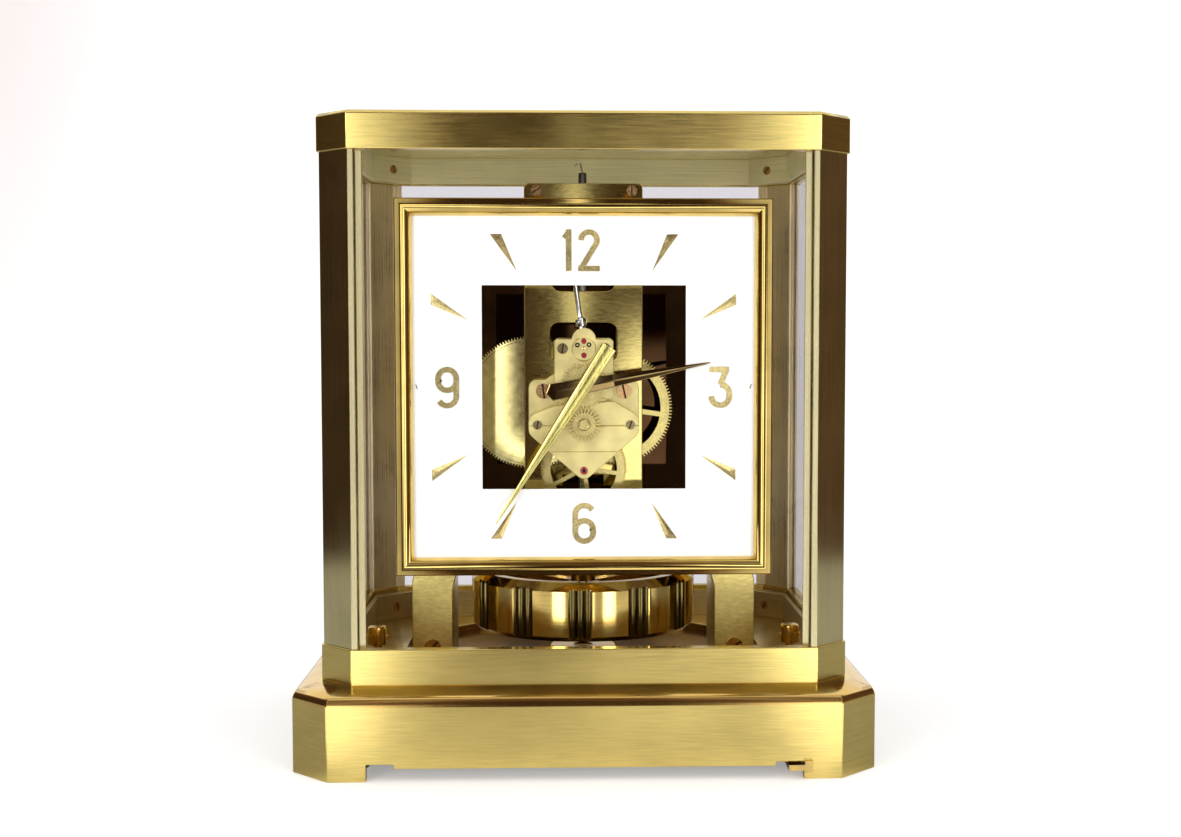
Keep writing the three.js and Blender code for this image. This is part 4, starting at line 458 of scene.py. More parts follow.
def run_group(piece, group, values):
    """Bakes a group into a piece, with a value for each input after the geometry."""
    modifier = piece.modifiers.new("nodes", "NODES")
    modifier.node_group = group
    inputs = [s for s in group.interface.items_tree if s.in_out == "INPUT"][1:]
    for item, value in zip(inputs, values):
        modifier[item.identifier] = value
    return plain(piece)


def screw_tree():
    """Slotted cheese heads on points, each turned to a different place."""
    group, t, port = node_group("slotted_screws", [
        ("Geometry", ["Geometry"]), ("Float", ["Head radius", "Head height", "Slot width", "Slot depth"]),
        ("Rotation", ["Facing"]), ("Int", ["Seed"]), ("Material", ["Material"]),
    ])
    radius, height = port["Head radius"], port["Head height"]
    rod = t.add("GeometryNodeMeshCylinder", {"Vertices": 40, "Radius": radius, "Depth": height})
    slot_size = t.xyz(radius * 3.0, port["Slot width"], port["Slot depth"] * 2.0)
    cutter = t.add("GeometryNodeMeshCube", {"Size": slot_size})
    top = t.xyz(0.0, 0.0, height * 0.5)
    ends = {"Mesh 1": rod, "Mesh 2": t.moved(cutter, top)}
    head = t.add("GeometryNodeMeshBoolean", ends, operation="DIFFERENCE")
    limits = {2: 0.0, 3: math.pi, 8: port["Seed"]}
    spin = t.add("FunctionNodeRandomValue", limits, output=1, data_type="FLOAT")
    turn = t.add("FunctionNodeEulerToRotation", [t.xyz(0.0, 0.0, spin)])
    aimed = t.add("FunctionNodeRotateRotation", [port["Facing"], turn], rotation_space="LOCAL")
    placed = t.add("GeometryNodeInstanceOnPoints", {
        "Points": port["Geometry"], "Instance": t.moved(head, top), "Rotation": aimed,
    })
    group_end(t, placed, port["Material"])
    return group


screws_on_points = screw_tree()


def screws(name, places, size, facing, finish, nodes=(), body="clock_case", slot="copper_gilt"):
    """Slotted screws of one size in millimetres: radius, height, slot width and slot depth."""
    size = [s * MM for s in size]
    mesh = bpy.data.meshes.new(name)
    mesh.from_pydata(places, [], [])
    piece = run_group(linked(name, mesh), screws_on_points, [*size, facing, len(name), finish])
    settle(dress(piece, 0.0, 30.0), finish, nodes, body)
    outward = facing.to_matrix() @ Vector((0, 0, 1))
    slot_top = size[1] * 0.9
    refinish(piece, slot_shadow, lambda face: (
        face.normal @ outward > 0.9 and (face.center - Vector(places[0])) @ outward < slot_top
    ))


ring_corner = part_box("lower_inner_ring")[1]
screw_place = (ring_corner.x - 9.3 * MM, ring_corner.y - 9.3 * MM)
for node in ("lower_inner_ring", "upper_inner_ring"):
    height = (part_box(node)[0].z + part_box(node)[1].z) / 2
    for sx, across in ((-1, "left"), (1, "right")):
        for sy, along in ((-1, "front"), (1, "rear")):
            seat = (sx * screw_place[0], sy * screw_place[1], height)
            aim = Vector((-sx, -sy, 0)).normalized().to_track_quat("Z", "Y").to_euler()
            screws(f"{node}_screw_{across}_{along}", [seat], (1.8, 0.5, 0.45, 0.3), aim, screw_brass)

# Panes. Clear flat glass stands in the grooves of the posts at both sides and at the back.
clear_glass, pane = new_material("pane_glass")
through = pane.add("ShaderNodeBsdfTransparent", {"Color": (0.80, 0.79, 0.81, 1.0)})
shine = pane.add("ShaderNodeBsdfGlossy", {"Color": WHITE, "Roughness": 0.01})
front_face = 1.0 - pane.add("ShaderNodeNewGeometry", output="Backfacing")
grazing = pane.add("ShaderNodeFresnel", {"IOR": 1.3}) * front_face
pane.surface(pane.add("ShaderNodeMixShader", [grazing, through, shine]))
for node in ("left_glass", "right_glass", "back_glass"):
    machined(node, clear_glass, 0.0)

# Case nuts. Two cross-pinned brass nuts hold the glazed case down on the plinth.
copper_gilt = metal("copper_gilt", (0.88, 0.55, 0.26), 0.16, (0.8, 0.8, 0.8), 0.2)
nut_gilt = metal("nut_gilt", (0.96, 0.62, 0.16), 0.14, (6.0, 6.0, 6.0), 0.2)


def solid(name, shell, outward=True):
    """A piece from an edit mesh, with its faces turned outward."""
    if outward:
        bmesh.ops.recalc_face_normals(shell, faces=shell.faces)
    mesh = bpy.data.meshes.new(name)
    shell.to_mesh(mesh)
    shell.free()
    return linked(name, mesh)


def turned(name, profile, centre=(0, 0, 0), axis="Z", segments=96):
    """A lathe-turned piece: a profile of radius and place, round an axis along Z or Y."""
    shell = bmesh.new()
    turns = [2 * math.pi * k / segments for k in range(segments)]
    rings = []
    for radius, place in profile:
        if radius > 0:
            circle = [(radius * math.cos(turn), radius * math.sin(turn), place) for turn in turns]
            rings.append([shell.verts.new(corner) for corner in circle])
        else:
            rings.append([shell.verts.new((0, 0, place))] * segments)
    for lower, upper in zip(rings, rings[1:]):
        for k in range(segments):
            corners = list(dict.fromkeys([lower[k - 1], lower[k], upper[k], upper[k - 1]]))
            if len(corners) > 2:
                shell.faces.new(corners)
    piece = solid(name, shell)
    if axis == "Y":
        piece.data.transform(Matrix.Rotation(-math.pi / 2, 4, "X"))
    piece.data.transform(Matrix.Translation(centre))
    return piece


def together(name, pieces):
    """Joins meshes into one piece."""
    shell = bmesh.new()
    for part in pieces:
        shell.from_mesh(part.data)
        bpy.data.objects.remove(part)
    return solid(name, shell, outward=False)


for side in ("left", "right"):
    low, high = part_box("case_nut_" + side)
    middle = (low + high) / 2
    head, head_low = 3.5 * MM, high.z - 7.2 * MM
    nut = turned("nut", [
        (0, low.z), (1.9 * MM, low.z), (1.9 * MM, head_low - 3.4 * MM), (2.5 * MM, head_low - 3.0 * MM),
        (2.5 * MM, head_low - 2.0 * MM), (1.7 * MM, head_low - 1.6 * MM), (1.7 * MM, head_low),
        (head, head_low + 0.3 * MM), (head, high.z - 0.9 * MM), (head - 0.3 * MM, high.z - 0.35 * MM),
        (head - 0.9 * MM, high.z), (0, high.z),
    ], (middle.x, middle.y, 0), segments=48)
    pin_half = (high.x - low.x) / 2
    pin = turned("pin", [
        (0, -pin_half), (0.45 * MM, -pin_half), (0.6 * MM, -pin_half + 0.2 * MM),
        (0.6 * MM, pin_half - 0.2 * MM), (0.45 * MM, pin_half), (0, pin_half),
    ], segments=20)
    pin.data.transform(Matrix.Rotation(math.pi / 2, 4, "Y"))
    pin.data.transform(Matrix.Translation((middle.x, middle.y, high.z - 3.8 * MM)))
    settle(dress(together(f"case_nut_{side}_finished", [nut, pin])), nut_gilt, ["case_nut_" + side])

# Levelling feet and pendulum lock. Brass discs drive the steel feet, and a brass lever in the
# front notch lifts a plunger under the pendulum.
bright_brass = metal("bright_brass", (0.92, 0.66, 0.24), 0.08, (6.0, 6.0, 6.0), 0.1)
bright_steel = metal("bright_steel", (0.62, 0.62, 0.63), 0.16, (4.0, 4.0, 0.4))
dark_steel = metal("dark_steel", (0.12, 0.115, 0.11), 0.3, (1.0, 1.0, 1.0))
for side in ("left", "right"):
    machined("levelling_disc_" + side, bright_brass, 0.15)
    machined("levelling_foot_" + side, bright_steel, 0.2, 50.0)
machined("lock_lever", bright_brass, 0.0)
low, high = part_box("lock_plunger")
settle(dress(turned("lock_plunger_finished", [
    (0, low.z), (1.9 * MM, low.z), (2.2 * MM, low.z + 0.3 * MM), (2.2 * MM, high.z - 2 * MM),
    (13.0 * MM, high.z - 2 * MM), (13.2 * MM, high.z - 1.7 * MM), (13.2 * MM, high.z - 0.5 * MM),
    (12.7 * MM, high.z), (4.0 * MM, high.z), (3.4 * MM, high.z - 0.4 * MM), (0, high.z - 0.4 * MM),
])), bright_brass, ["lock_plunger"])

# Main frame. One brass casting with a flat brushed face: a column that carries the movement
# and parts below into two legs round the pendulum, each screwed down from the front.
frame_brass = metal("frame_brass", (0.98, 0.80, 0.28), 0.08, (3.0, 3.0, 1.0), 0.25, 0.6)
satin_below, polished_above, satin_rise = 56 * MM, 72 * MM, 0.26


def shader_of(material):
    """The surface shader of a metal."""
    return next(n for n in material.node_tree.nodes if n.type == "BSDF_PRINCIPLED")


leg_finish = Tree(frame_brass.node_tree)
leg_height = leg_finish.axis(leg_finish.place(), 2)
leg_roughness = shader_of(frame_brass).inputs["Roughness"]
leg_grain = Signal(leg_finish, leg_roughness.links[0].from_socket)
satin = leg_grain + (1.0 - leg_height.rise(satin_below, polished_above)) * satin_rise
frame_brass.node_tree.links.new(satin.socket, leg_roughness)
for node, edge in (("main_frame", 0.3), ("suspension_bridge", 0.3), ("back_bridge", 0.2)):
    machined(node, frame_brass, edge)
facing_front = Euler((math.pi / 2, 0, 0))


def cad_screw(node, seat, size):
    """A screw of the CAD that faces the front, with a real slot."""
    low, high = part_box(node)
    middle = (low + high) / 2
    screws(node + "_finished", [(middle.x, seat, middle.z)], size, facing_front, copper_gilt, [node])


def screw_pair(name, aside, front, height, size, finish, **slot):
    """Two small screws, left and right of the middle."""
    seats = [(side * aside * MM, front, height * MM) for side in (-1, 1)]
    screws(name, seats, size, facing_front, finish, **slot)


for side in ("left", "right"):
    cad_screw("leg_screw_" + side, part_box("leg_screw_" + side)[0].y + 1.2 * MM, (3.27, 1.2, 0.8, 0.6))
column_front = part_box("main_frame")[0].y
screw_pair("suspension_bridge_screws", 17.6, column_front, 208.7, (1.9, 0.5, 0.5, 0.3), copper_gilt)

# Suspension. A dark clamp on the bridge grips the torsion wire, whose cut end stands up
# bent, and the steel tube below hangs round the wire with the pendulum.
low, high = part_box("suspension_clamp")
settle(dress(turned("suspension_clamp_finished", [
    (0.6 * MM, low.z), (1.6 * MM, low.z), (1.6 * MM, high.z - 0.3 * MM), (1.3 * MM, high.z),
    (0.6 * MM, high.z), (0.6 * MM, low.z),
], segments=32)), dark_steel, ["suspension_clamp"])
machined("suspension_wire", bright_steel, 0.0, 60.0)
low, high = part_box("suspension_tube")
pin_back, pin_height = -1.6 * MM, 186 * MM
pin = turned("pin", [
    (0, low.y), (0.4 * MM, low.y), (0.5 * MM, low.y + 0.1 * MM), (0.5 * MM, pin_back), (0, pin_back),
], (0, 0, pin_height), "Y", 20)
tube = turned("tube", [
    (0.6 * MM, low.z), (1.7 * MM, low.z), (2.0 * MM, low.z + 0.3 * MM), (2.0 * MM, high.z - 0.2 * MM),
    (1.8 * MM, high.z), (1.1 * MM, high.z), (1.1 * MM, low.z + 4 * MM), (0.6 * MM, low.z + 4 * MM),
    (0.6 * MM, low.z),
], segments=48)
settle(dress(together("suspension_tube_finished", [tube, pin])), bright_steel, ["suspension_tube"])

# Torsion pendulum. A heavy brass ring, turned and chamfered, with clusters of three upright
# flutes all round, carried by four arms from the hub of the tube.
ring_radius, ring_inner, low_chamfer, top_chamfer = 44.2, 37.7, 1.8, 3.2
clusters, side_flutes, cluster_turn = 12, 1, math.radians(-2.0)
flute_pitch, flute_width, flute_deepest = 3.0, 2.85, 0.85
pendulum_grain = (40.0, 40.0, 0.25)
pendulum_brass = metal("pendulum_brass", (0.92, 0.68, 0.22), 0.13, pendulum_grain, 0.15, 0.8)
# The flute faces get a dark brass: painted shade in the grooves.
flute_painted_shade_brass = metal("flute_painted_shade_brass", (0.13, 0.10, 0.035), 0.16, pendulum_grain, 0.15)


def flute_depth(angle):
    """How deep the flutes cut into the ring at an angle from its front, in millimetres."""
    spacing = 2 * math.pi / clusters
    offset = (angle - cluster_turn + spacing / 2) % spacing - spacing / 2
    along = offset * ring_radius / flute_pitch
    nearest = min(max(round(along), -side_flutes), side_flutes)
    away = abs(along - nearest) * flute_pitch / (flute_width / 2)
    return flute_deepest * math.sqrt(max(0.0, 1 - away * away))


def wrapped(name, loops):
    """A closed ring through the corners of its section at each step round it."""
    shell = bmesh.new()
    rows = [[shell.verts.new(corner) for corner in loop] for loop in loops]
    for here, there in zip(rows, rows[1:] + rows[:1]):
        for k in range(len(here)):
            j = (k + 1) % len(here)
            shell.faces.new((here[k], there[k], there[j], here[j]))
    return solid(name, shell)


def pendulum_ring(bottom, top, steps=720):
    """The fluted ring as a grid of angles and levels, in millimetres."""
    r, low, high = ring_radius, low_chamfer, top_chamfer
    shoulder = top - high
    profile = [(ring_inner, bottom), (r - low, bottom)]
    profile += [(r - low * (1 - k / 4), bottom + low * k / 4) for k in range(1, 5)]
    profile += [(r, shoulder)]
    profile += [(r - high * k / 8, shoulder + high * k / 8) for k in range(1, 9)]
    profile += [(ring_inner, top)]
    columns = []
    for step in range(steps):
        angle = 2 * math.pi * step / steps
        limit, turn = r - flute_depth(angle), angle - math.pi / 2
        section = [(min(radius, limit), z) for radius, z in profile]
        columns.append([(q * math.cos(turn) * MM, q * math.sin(turn) * MM, z * MM) for q, z in section])
    return wrapped("pendulum_ring", columns)


def bar(name, low, high):
    """A straight bar between two corners."""
    shell = bmesh.new()
    bmesh.ops.create_cube(shell, size=1.0)
    size, middle = Vector(high) - Vector(low), (Vector(high) + Vector(low)) / 2
    placed = Matrix.Translation(middle) @ Matrix.Diagonal((*size, 1))
    bmesh.ops.transform(shell, matrix=placed, verts=shell.verts)
    return solid(name, shell, outward=False)


def in_flute(face):
    """Whether a face of the pendulum lies in one of its flutes."""
    place = face.center / MM
    outside = math.hypot(place.x, place.y) > ring_inner + 1 and ring_bottom < face.center.z < ring_high.z
    depth = flute_depth(math.atan2(place.y, place.x) + math.pi / 2)
    return outside and abs(face.normal.z) < 0.5 and depth > 0.05


ring_low, ring_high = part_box("pendulum")
ring_bottom = ring_high.z - 22.1 * MM
tube_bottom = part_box("suspension_tube")[0].z
arm_low, arm_high = tube_bottom - 8 * MM, tube_bottom - 4 * MM
arm_reach, arm_half = 38 * MM, 2.5 * MM
parts = [pendulum_ring(ring_bottom / MM, ring_high.z / MM)]
for turn in (45, 135):
    arm = bar("arm", (-arm_reach, -arm_half, arm_low), (arm_reach, arm_half, arm_high))
    arm.data.transform(Matrix.Rotation(math.radians(turn), 4, "Z"))
    parts.append(arm)
parts.append(turned("hub", [
    (0, ring_low.z), (1.0 * MM, ring_low.z), (1.35 * MM, ring_low.z + 0.4 * MM), (1.35 * MM, arm_low),
    (4.6 * MM, arm_low), (5 * MM, arm_low + 0.4 * MM), (5 * MM, tube_bottom - 0.4 * MM),
    (4.6 * MM, tube_bottom), (0, tube_bottom),
], segments=48))
pendulum = settle(dress(together("pendulum_finished", parts), 0.0, 28.0), pendulum_brass, ["pendulum"])
refinish(pendulum, flute_painted_shade_brass, in_flute)

# Movement plates and bridges. Pale gilt, finely matted brass plates stand in front of the
# column on pillars, and their bridges hold the jewelled pivots.
movement_gilt = metal("movement_gilt", (1.0, 0.85, 0.36), 0.2, (7.0, 7.0, 7.0), 0.3, dull=0.4)
bronze = metal("bronze", (0.42, 0.33, 0.17), 0.2, (1.0, 1.0, 1.0), 0.2)
for node in ("movement_plate", "upper_bridge", "lower_bridge"):
    machined(node, movement_gilt, 0.3)
for side in ("left", "right"):
    cad_screw("movement_screw_" + side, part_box("movement_screw_" + side)[1].y, (2.85, 1.0, 0.7, 0.5))
upper_front, lower_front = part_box("upper_bridge")[0].y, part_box("lower_bridge")[0].y
bridge_face = upper_front + 0.5 * MM
screw_pair("upper_bridge_screws", 7.9, bridge_face, 150.9, (2.0, 0.45, 0.6, 0.3), bronze, slot="steel")
screw_pair("lower_bridge_screws", 17.3, lower_front, 122.5, (1.7, 0.2, 0.5, 0.15), bronze, slot="steel")

# Jewels. Domed synthetic rubies are pressed into the bridges for the upper pivots.
ruby, gem = new_material("ruby")
gem_tint = gem.blend(gem.noise(gem.place(), 900.0, 2.0), (0.16, 0.006, 0.012, 1.0), (0.42, 0.02, 0.03, 1.0))
gem.surface(gem.add("ShaderNodeBsdfPrincipled", {
    "Base Color": gem_tint, "Roughness": 0.08, "IOR": 1.76, "Coat Weight": 0.3,
}))
pivot_black = metal("pivot_black", (0.02, 0.018, 0.015), 0.3, (0.4, 0.4, 0.4))


def jewels(name, places, radius, front, finish):
    """Pressed rings with an oil sink, each round the end of a pivot."""
    stones = [turned("stone", [
        (0, front + 0.2 * MM), (0.25 * radius, front + 0.2 * MM), (0.45 * radius, front - 0.1 * MM),
        (0.8 * radius, front - 0.16 * MM), (radius, front - 0.02 * MM), (radius, front + 0.3 * MM),
        (0, front + 0.3 * MM),
    ], (x * MM, 0, z * MM), "Y", 32) for x, z in places]
    settle(dress(together(name, stones)), finish, body="clock_case")


jewels("upper_jewels", [(0, 153.6), (0, 148.4)], 1.05 * MM, upper_front, ruby)
jewels("upper_sinks", [(-2.4, 152.2), (1.9, 152.3)], 0.9 * MM, upper_front, pivot_black)
jewels("disc_pin", [(-0.1, 151.0)], 0.7 * MM, upper_front, copper_gilt)
jewels("lower_jewel", [(0, 105.4)], 1.5 * MM, lower_front + 0.12 * MM, ruby)
jewels("lower_sink", [(0, 105.4)], 0.6 * MM, lower_front + 0.07 * MM, pivot_black)

# Wheel train. Cut brass wheels with turned faces run from the mainspring barrel to the
# escape wheel on steel arbors, and the motion work in front of the bridges turns the hour hand.
def wheel_tree():
    """A flat wheel or pinion: teeth on a rim round a bore, crossed out by straight spokes."""
    group, t, port = node_group("cut_wheel", [
        ("Geometry", ["Geometry"]), ("Int", ["Teeth", "Spokes"]),
        ("Float", ["Tip radius", "Root radius", "Tip share", "Root share", "Bore radius", "Thickness",
                   "Spoke width", "Hub radius", "Spoke turn"]),
        ("Material", ["Material"]),
    ])
    teeth, tip, root, bore = port["Teeth"], port["Tip radius"], port["Root radius"], port["Bore radius"]
    ring = "GeometryNodeCurvePrimitiveCircle"
    circle = t.add(ring, {"Resolution": teeth * 4.0, "Radius": tip}, mode="RADIUS")
    count = t.add("GeometryNodeInputIndex")
    corner = count.math("FLOORED_MODULO", 4.0)
    at_tip = (corner - 1.5).math("ABSOLUTE").math("LESS_THAN", 1.0)
    side = corner.math("GREATER_THAN", 1.5) * 2.0 - 1.0
    share = side * 0.5 * (port["Root share"] + (port["Tip share"] - port["Root share"]) * at_tip)
    tooth_place = ((count * 0.25).math("FLOOR") + share) * (2.0 * math.pi)
    angle = tooth_place.math("DIVIDE", teeth)
    reach = root + (tip - root) * at_tip
    outline_point = t.xyz(angle.math("COSINE") * reach, angle.math("SINE") * reach, 0.0)
    outline = t.add("GeometryNodeSetPosition", {"Geometry": circle, "Position": outline_point})
    hole = t.add(ring, {"Resolution": 96, "Radius": bore}, mode="RADIUS")
    face = t.add("GeometryNodeFillCurve", {"Curve": t.joined(outline, hole)})
    thick = port["Thickness"]
    raised = t.add("GeometryNodeExtrudeMesh", {
        "Mesh": face, "Offset": (0.0, 0.0, 1.0), "Offset Scale": thick, "Individual": False,
    }, mode="FACES")
    rim = t.joined(raised, t.add("GeometryNodeFlipFaces", [face]))
    rim = t.add("GeometryNodeMergeByDistance", {"Geometry": rim, "Distance": MERGED})
    hub = port["Hub radius"]
    length = bore - hub + 0.6 * MM
    spoke_size = t.xyz(length, port["Spoke width"], thick * 0.9)
    spoke = t.add("GeometryNodeMeshCube", {"Size": spoke_size})
    spoke = t.moved(spoke, t.xyz(hub + length * 0.5 - 0.3 * MM, 0.0, thick * 0.5))
    points = t.add("GeometryNodePoints", {"Count": port["Spokes"]})
    step = t.add("GeometryNodeInputIndex") * (2.0 * math.pi)
    turn = t.xyz(0.0, 0.0, step.math("DIVIDE", port["Spokes"]) + port["Spoke turn"])
    crossings = t.add("GeometryNodeInstanceOnPoints", {
        "Points": points, "Instance": spoke, "Rotation": turn,
    })
    disc = t.add("GeometryNodeMeshCylinder", {"Vertices": 64, "Radius": hub, "Depth": thick})
    disc = t.moved(disc, t.xyz(0.0, 0.0, thick * 0.5))
    group_end(t, t.joined(rim, crossings, disc), port["Material"])
    return group


cut_wheel = wheel_tree()
ARBORS = {
    "centre": (0.0, 137.1), "minute": (0.0, 122.8), "third": (0.0, 105.4), "great": (12.6, 127.5),
    "barrel": (-20.2, 130.1), "escape": (0.0, 148.4), "pallet": (0.0, 153.6),
}


def wheel(arbor, teeth, tip, root, front, back, bore=0.5, spokes=0, width=0.0, hub=0.0,
          spoke_turn=0.0, shares=(0.24, 0.5)):
    """A wheel of the train, in millimetres, from its front to its back along Y."""
    piece = run_group(linked("wheel", bpy.data.meshes.new("wheel")), cut_wheel, [
        teeth, spokes, tip * MM, root * MM, *shares, bore * MM, (back - front) * MM, width * MM,
        (hub or bore + 0.2) * MM, math.radians(spoke_turn), wheel_brass,
    ])
    flattened(piece.data, weld=False)
    x, z = ARBORS[arbor]
    seat = Matrix.Translation((x * MM, back * MM, z * MM))
    piece.data.transform(seat @ Matrix.Rotation(math.pi / 2, 4, "X"))
    return piece


def arbor_bar(arbor, profile, segments=32):
    """A turned piece round an arbor from pairs of radius and place along Y, in millimetres."""
    x, z = ARBORS[arbor]
    return turned("arbor", [(r * MM, y * MM) for r, y in profile], (x * MM, 0, z * MM), "Y", segments)


def turned_face(name, colour, roughness, arbor, groove, dome=0.0):
    """Brass with the fine rings that a lathe leaves round an arbor, on a slightly domed face."""
    material = metal(name, colour, roughness, (3.0, 3.0, 3.0), 0.15)
    t = Tree(material.node_tree)
    x, z = ARBORS[arbor]
    offset = t.vector("SUBTRACT", t.place(), (x * MM, 0.0, z * MM))
    radius = t.vector("LENGTH", t.vector("MULTIPLY", offset, (1.0, 0.0, 1.0)), output="Value")
    rings = t.add("ShaderNodeTexNoise", {
        "W": radius * (1.0 / (groove * MM)), "Scale": 1.0, "Detail": 2.0,
    }, noise_dimensions="1D")
    swell = radius.math("POWER", 2.0) * dome + rings * (0.004 * MM)
    bump = t.add("ShaderNodeBump", {"Strength": 1.0, "Distance": 1.0, "Height": swell})
    material.node_tree.links.new(bump.socket, shader_of(material).inputs["Normal"])
    return material


wheel_brass = metal("wheel_brass", (0.97, 0.80, 0.32), 0.16, (4.0, 4.0, 4.0), 0.2, dull=0.1)
barrel_brass = turned_face("barrel_brass", (0.98, 0.84, 0.36), 0.12, "barrel", 0.4, -2.4)
great_brass = turned_face("great_wheel_brass", (0.97, 0.80, 0.30), 0.18, "great", 0.4)


def train_piece(node, parts, finish=wheel_brass):
    settle(dress(together(node + "_finished", parts), 0.0, 32.0), finish, [node])


train_piece("mainspring_barrel", [
    wheel("barrel", 135, 25.36, 24.45, -21.4, -19.4, bore=23.5),
    arbor_bar("barrel", [
        (1.65, -21.35), (4.2, -21.35), (4.4, -21.1), (4.8, -21.1), (5.0, -21.35), (23.55, -21.35),
        (23.6, -21.2), (23.6, -13.9), (23.3, -13.6), (4.6, -13.6), (4.4, -14.0), (1.65, -14.0),
        (1.65, -21.35),
    ], 128),
], barrel_brass)
train_piece("great_wheel", [
    wheel("great", 110, 22.1, 21.0, -13.0, -11.5, bore=17.6, spokes=5, width=1.9, hub=6.8, spoke_turn=-8),
    wheel("great", 42, 7.85, 7.1, -21.7, -19.1),
    arbor_bar("great", [
        (0, -24.1), (0.6, -24.1), (0.6, -21.8), (1.4, -21.6), (1.4, -8.9), (0.6, -8.8), (0.6, -6.2),
        (0, -6.2),
    ]),
], great_brass)
leaf_shares = (0.3, 0.52)
train_piece("third_wheel", [
    wheel("third", 90, 16.35, 15.4, -31.6, -30.1, bore=12.6, spokes=5, width=1.5, hub=3.0, spoke_turn=-80),
    wheel("third", 19, 4.1, 3.1, -13.3, -11.2, shares=leaf_shares),
    arbor_bar("third", [
        (0, -40.4), (0.5, -40.4), (0.6, -38.4), (0.9, -38.2), (0.9, -9.0), (0.6, -8.8), (0.6, -6.2),
        (0, -6.2),
    ]),
])
train_piece("minute_wheel", [
    wheel("minute", 60, 12.7, 12.1, -38.2, -37.2, bore=0.9),
    wheel("minute", 8, 1.65, 1.0, -31.9, -28.0, shares=leaf_shares),
    wheel("minute", 25, 6.3, 4.3, -43.7, -42.1, bore=2.2, shares=(0.28, 0.5)),
    arbor_bar("minute", [
        (0, -44.4), (1.7, -44.4), (2.0, -44.2), (2.0, -43.4), (0.9, -43.3), (0.9, -28.2), (0.6, -28.0),
        (0.6, -24.8), (0, -24.8),
    ]),
])
train_piece("hour_wheel", [
    wheel("centre", 35, 8.69, 7.4, -43.4, -42.4, bore=1.85, shares=(0.28, 0.5)),
    arbor_bar("centre", [(1.3, -47.1), (1.9, -47.1), (1.9, -40.95), (1.3, -40.95), (1.3, -47.1)]),
])
train_piece("centre_arbor", [
    wheel("centre", 7, 1.7, 1.0, -38.35, -36.9, shares=leaf_shares),
    wheel("centre", 48, 9.3, 8.8, -36.3, -35.3, bore=7.6, spokes=4, width=1.2, hub=2.4),
    arbor_bar("centre", [(0, -48.9), (0.9, -48.9), (0.9, -27.4), (0.6, -27.2), (0.6, -24.8), (0, -24.8)]),
])
train_piece("escape_wheel", [
    wheel("escape", 15, 4.05, 2.9, -38.2, -37.2, bore=1.0, shares=(0.06, 0.6)),
    wheel("escape", 12, 2.35, 1.75, -36.6, -35.0, shares=leaf_shares),
    arbor_bar("escape", [
        (0, -40.4), (0.5, -40.4), (0.6, -38.4), (0.9, -38.2), (0.9, -35.0), (0.6, -34.8), (0.6, -32.2),
        (0, -32.2),
    ]),
])
for node in ("winding_arbor", "pallet_lever"):
    machined(node, bright_steel, 0.0, 50.0)
settle(dress(turned("lever_collar", [
    (0, 158.8 * MM), (1.3 * MM, 158.8 * MM), (1.5 * MM, 159.1 * MM), (1.5 * MM, 162.2 * MM),
    (1.2 * MM, 162.6 * MM), (0, 162.6 * MM),
], (-0.9 * MM, -36.6 * MM, 0), segments=40)), bright_steel, body=node_body["pallet_lever"])
machined("guide_pulley", wheel_brass, 0.0, 40.0)

# Bellows drum. A polished brass cup behind the frame, closed by a brushed cover, holds the
# bellows capsule, its thrust plate and spring.
# The cup's brass is given a near-black brown colour: a painted dark reflection of the room in its polish.
drum_painted_reflection_brass = metal("drum_painted_reflection_brass", (0.07, 0.033, 0.014), 0.03, (9.0, 9.0, 9.0), 0.3)
cover_low, cover_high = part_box("drum_cover")
drum_low, drum_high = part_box("bellows_drum")
drum_centre = Vector(((cover_low.x + cover_high.x) / 2, 0, (cover_low.z + cover_high.z) / 2))
drum_radius = (cover_high.x - cover_low.x) / 2
drum_depth, drum_wall = 51.3 * MM, 1.5 * MM
drum_front, drum_inner = drum_high.y - drum_depth, drum_radius - drum_wall
drum_floor = drum_front + 2 * MM
drum_cup = turned("cup", [
    (0, drum_front), (drum_radius - 1.5 * MM, drum_front), (drum_radius - 0.5 * MM, drum_front + 0.35 * MM),
    (drum_radius, drum_front + 1.4 * MM), (drum_radius, drum_high.y), (drum_inner, drum_high.y),
    (drum_inner, drum_floor), (0, drum_floor),
], drum_centre, "Y", 192)
pulley_low, pulley_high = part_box("guide_pulley")
cheek_wall, cheek_foot, cheek_top = 1.2 * MM, 147 * MM, 153 * MM
cheeks = [bar(
    "cheek", (x, drum_low.y, cheek_foot), (x + cheek_wall, drum_front + 0.5 * MM, cheek_top),
) for x in (pulley_low.x, pulley_high.x - cheek_wall)]
settle(dress(together("bellows_drum_finished", [drum_cup, *cheeks])), drum_painted_reflection_brass, ["bellows_drum"])
cover_lip = drum_radius - 1.8 * MM
groove_floor = cover_high.y - 0.6 * MM
settle(dress(turned("drum_cover_finished", [
    (0, drum_high.y), (cover_lip - 1.5 * MM, drum_high.y), (cover_lip - 1.5 * MM, cover_low.y),
    (cover_lip, cover_low.y), (cover_lip, drum_high.y), (drum_radius, drum_high.y),
    (drum_radius, groove_floor), (drum_radius - 0.6 * MM, cover_high.y), (44 * MM, cover_high.y),
    (43 * MM, groove_floor), (22 * MM, groove_floor), (21 * MM, cover_high.y), (3 * MM, cover_high.y),
    (2.6 * MM, cover_high.y - 0.5 * MM), (0, cover_high.y - 0.5 * MM),
], drum_centre, "Y", 192)), case_brass, ["drum_cover"])
machined("thrust_plate", bright_steel, 0.2)


def stretched(node, finish, angle, front_body, back_body, fixed=0.0):
    """A piece baked in place and bound to no body; the end bodies and places given to it are passed on
    unused.
    """
    low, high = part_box(node)
    machined(node, finish, 0.0, angle, between=(front_body, back_body, (0, low.y + fixed, 0), (0, high.y, 0)))


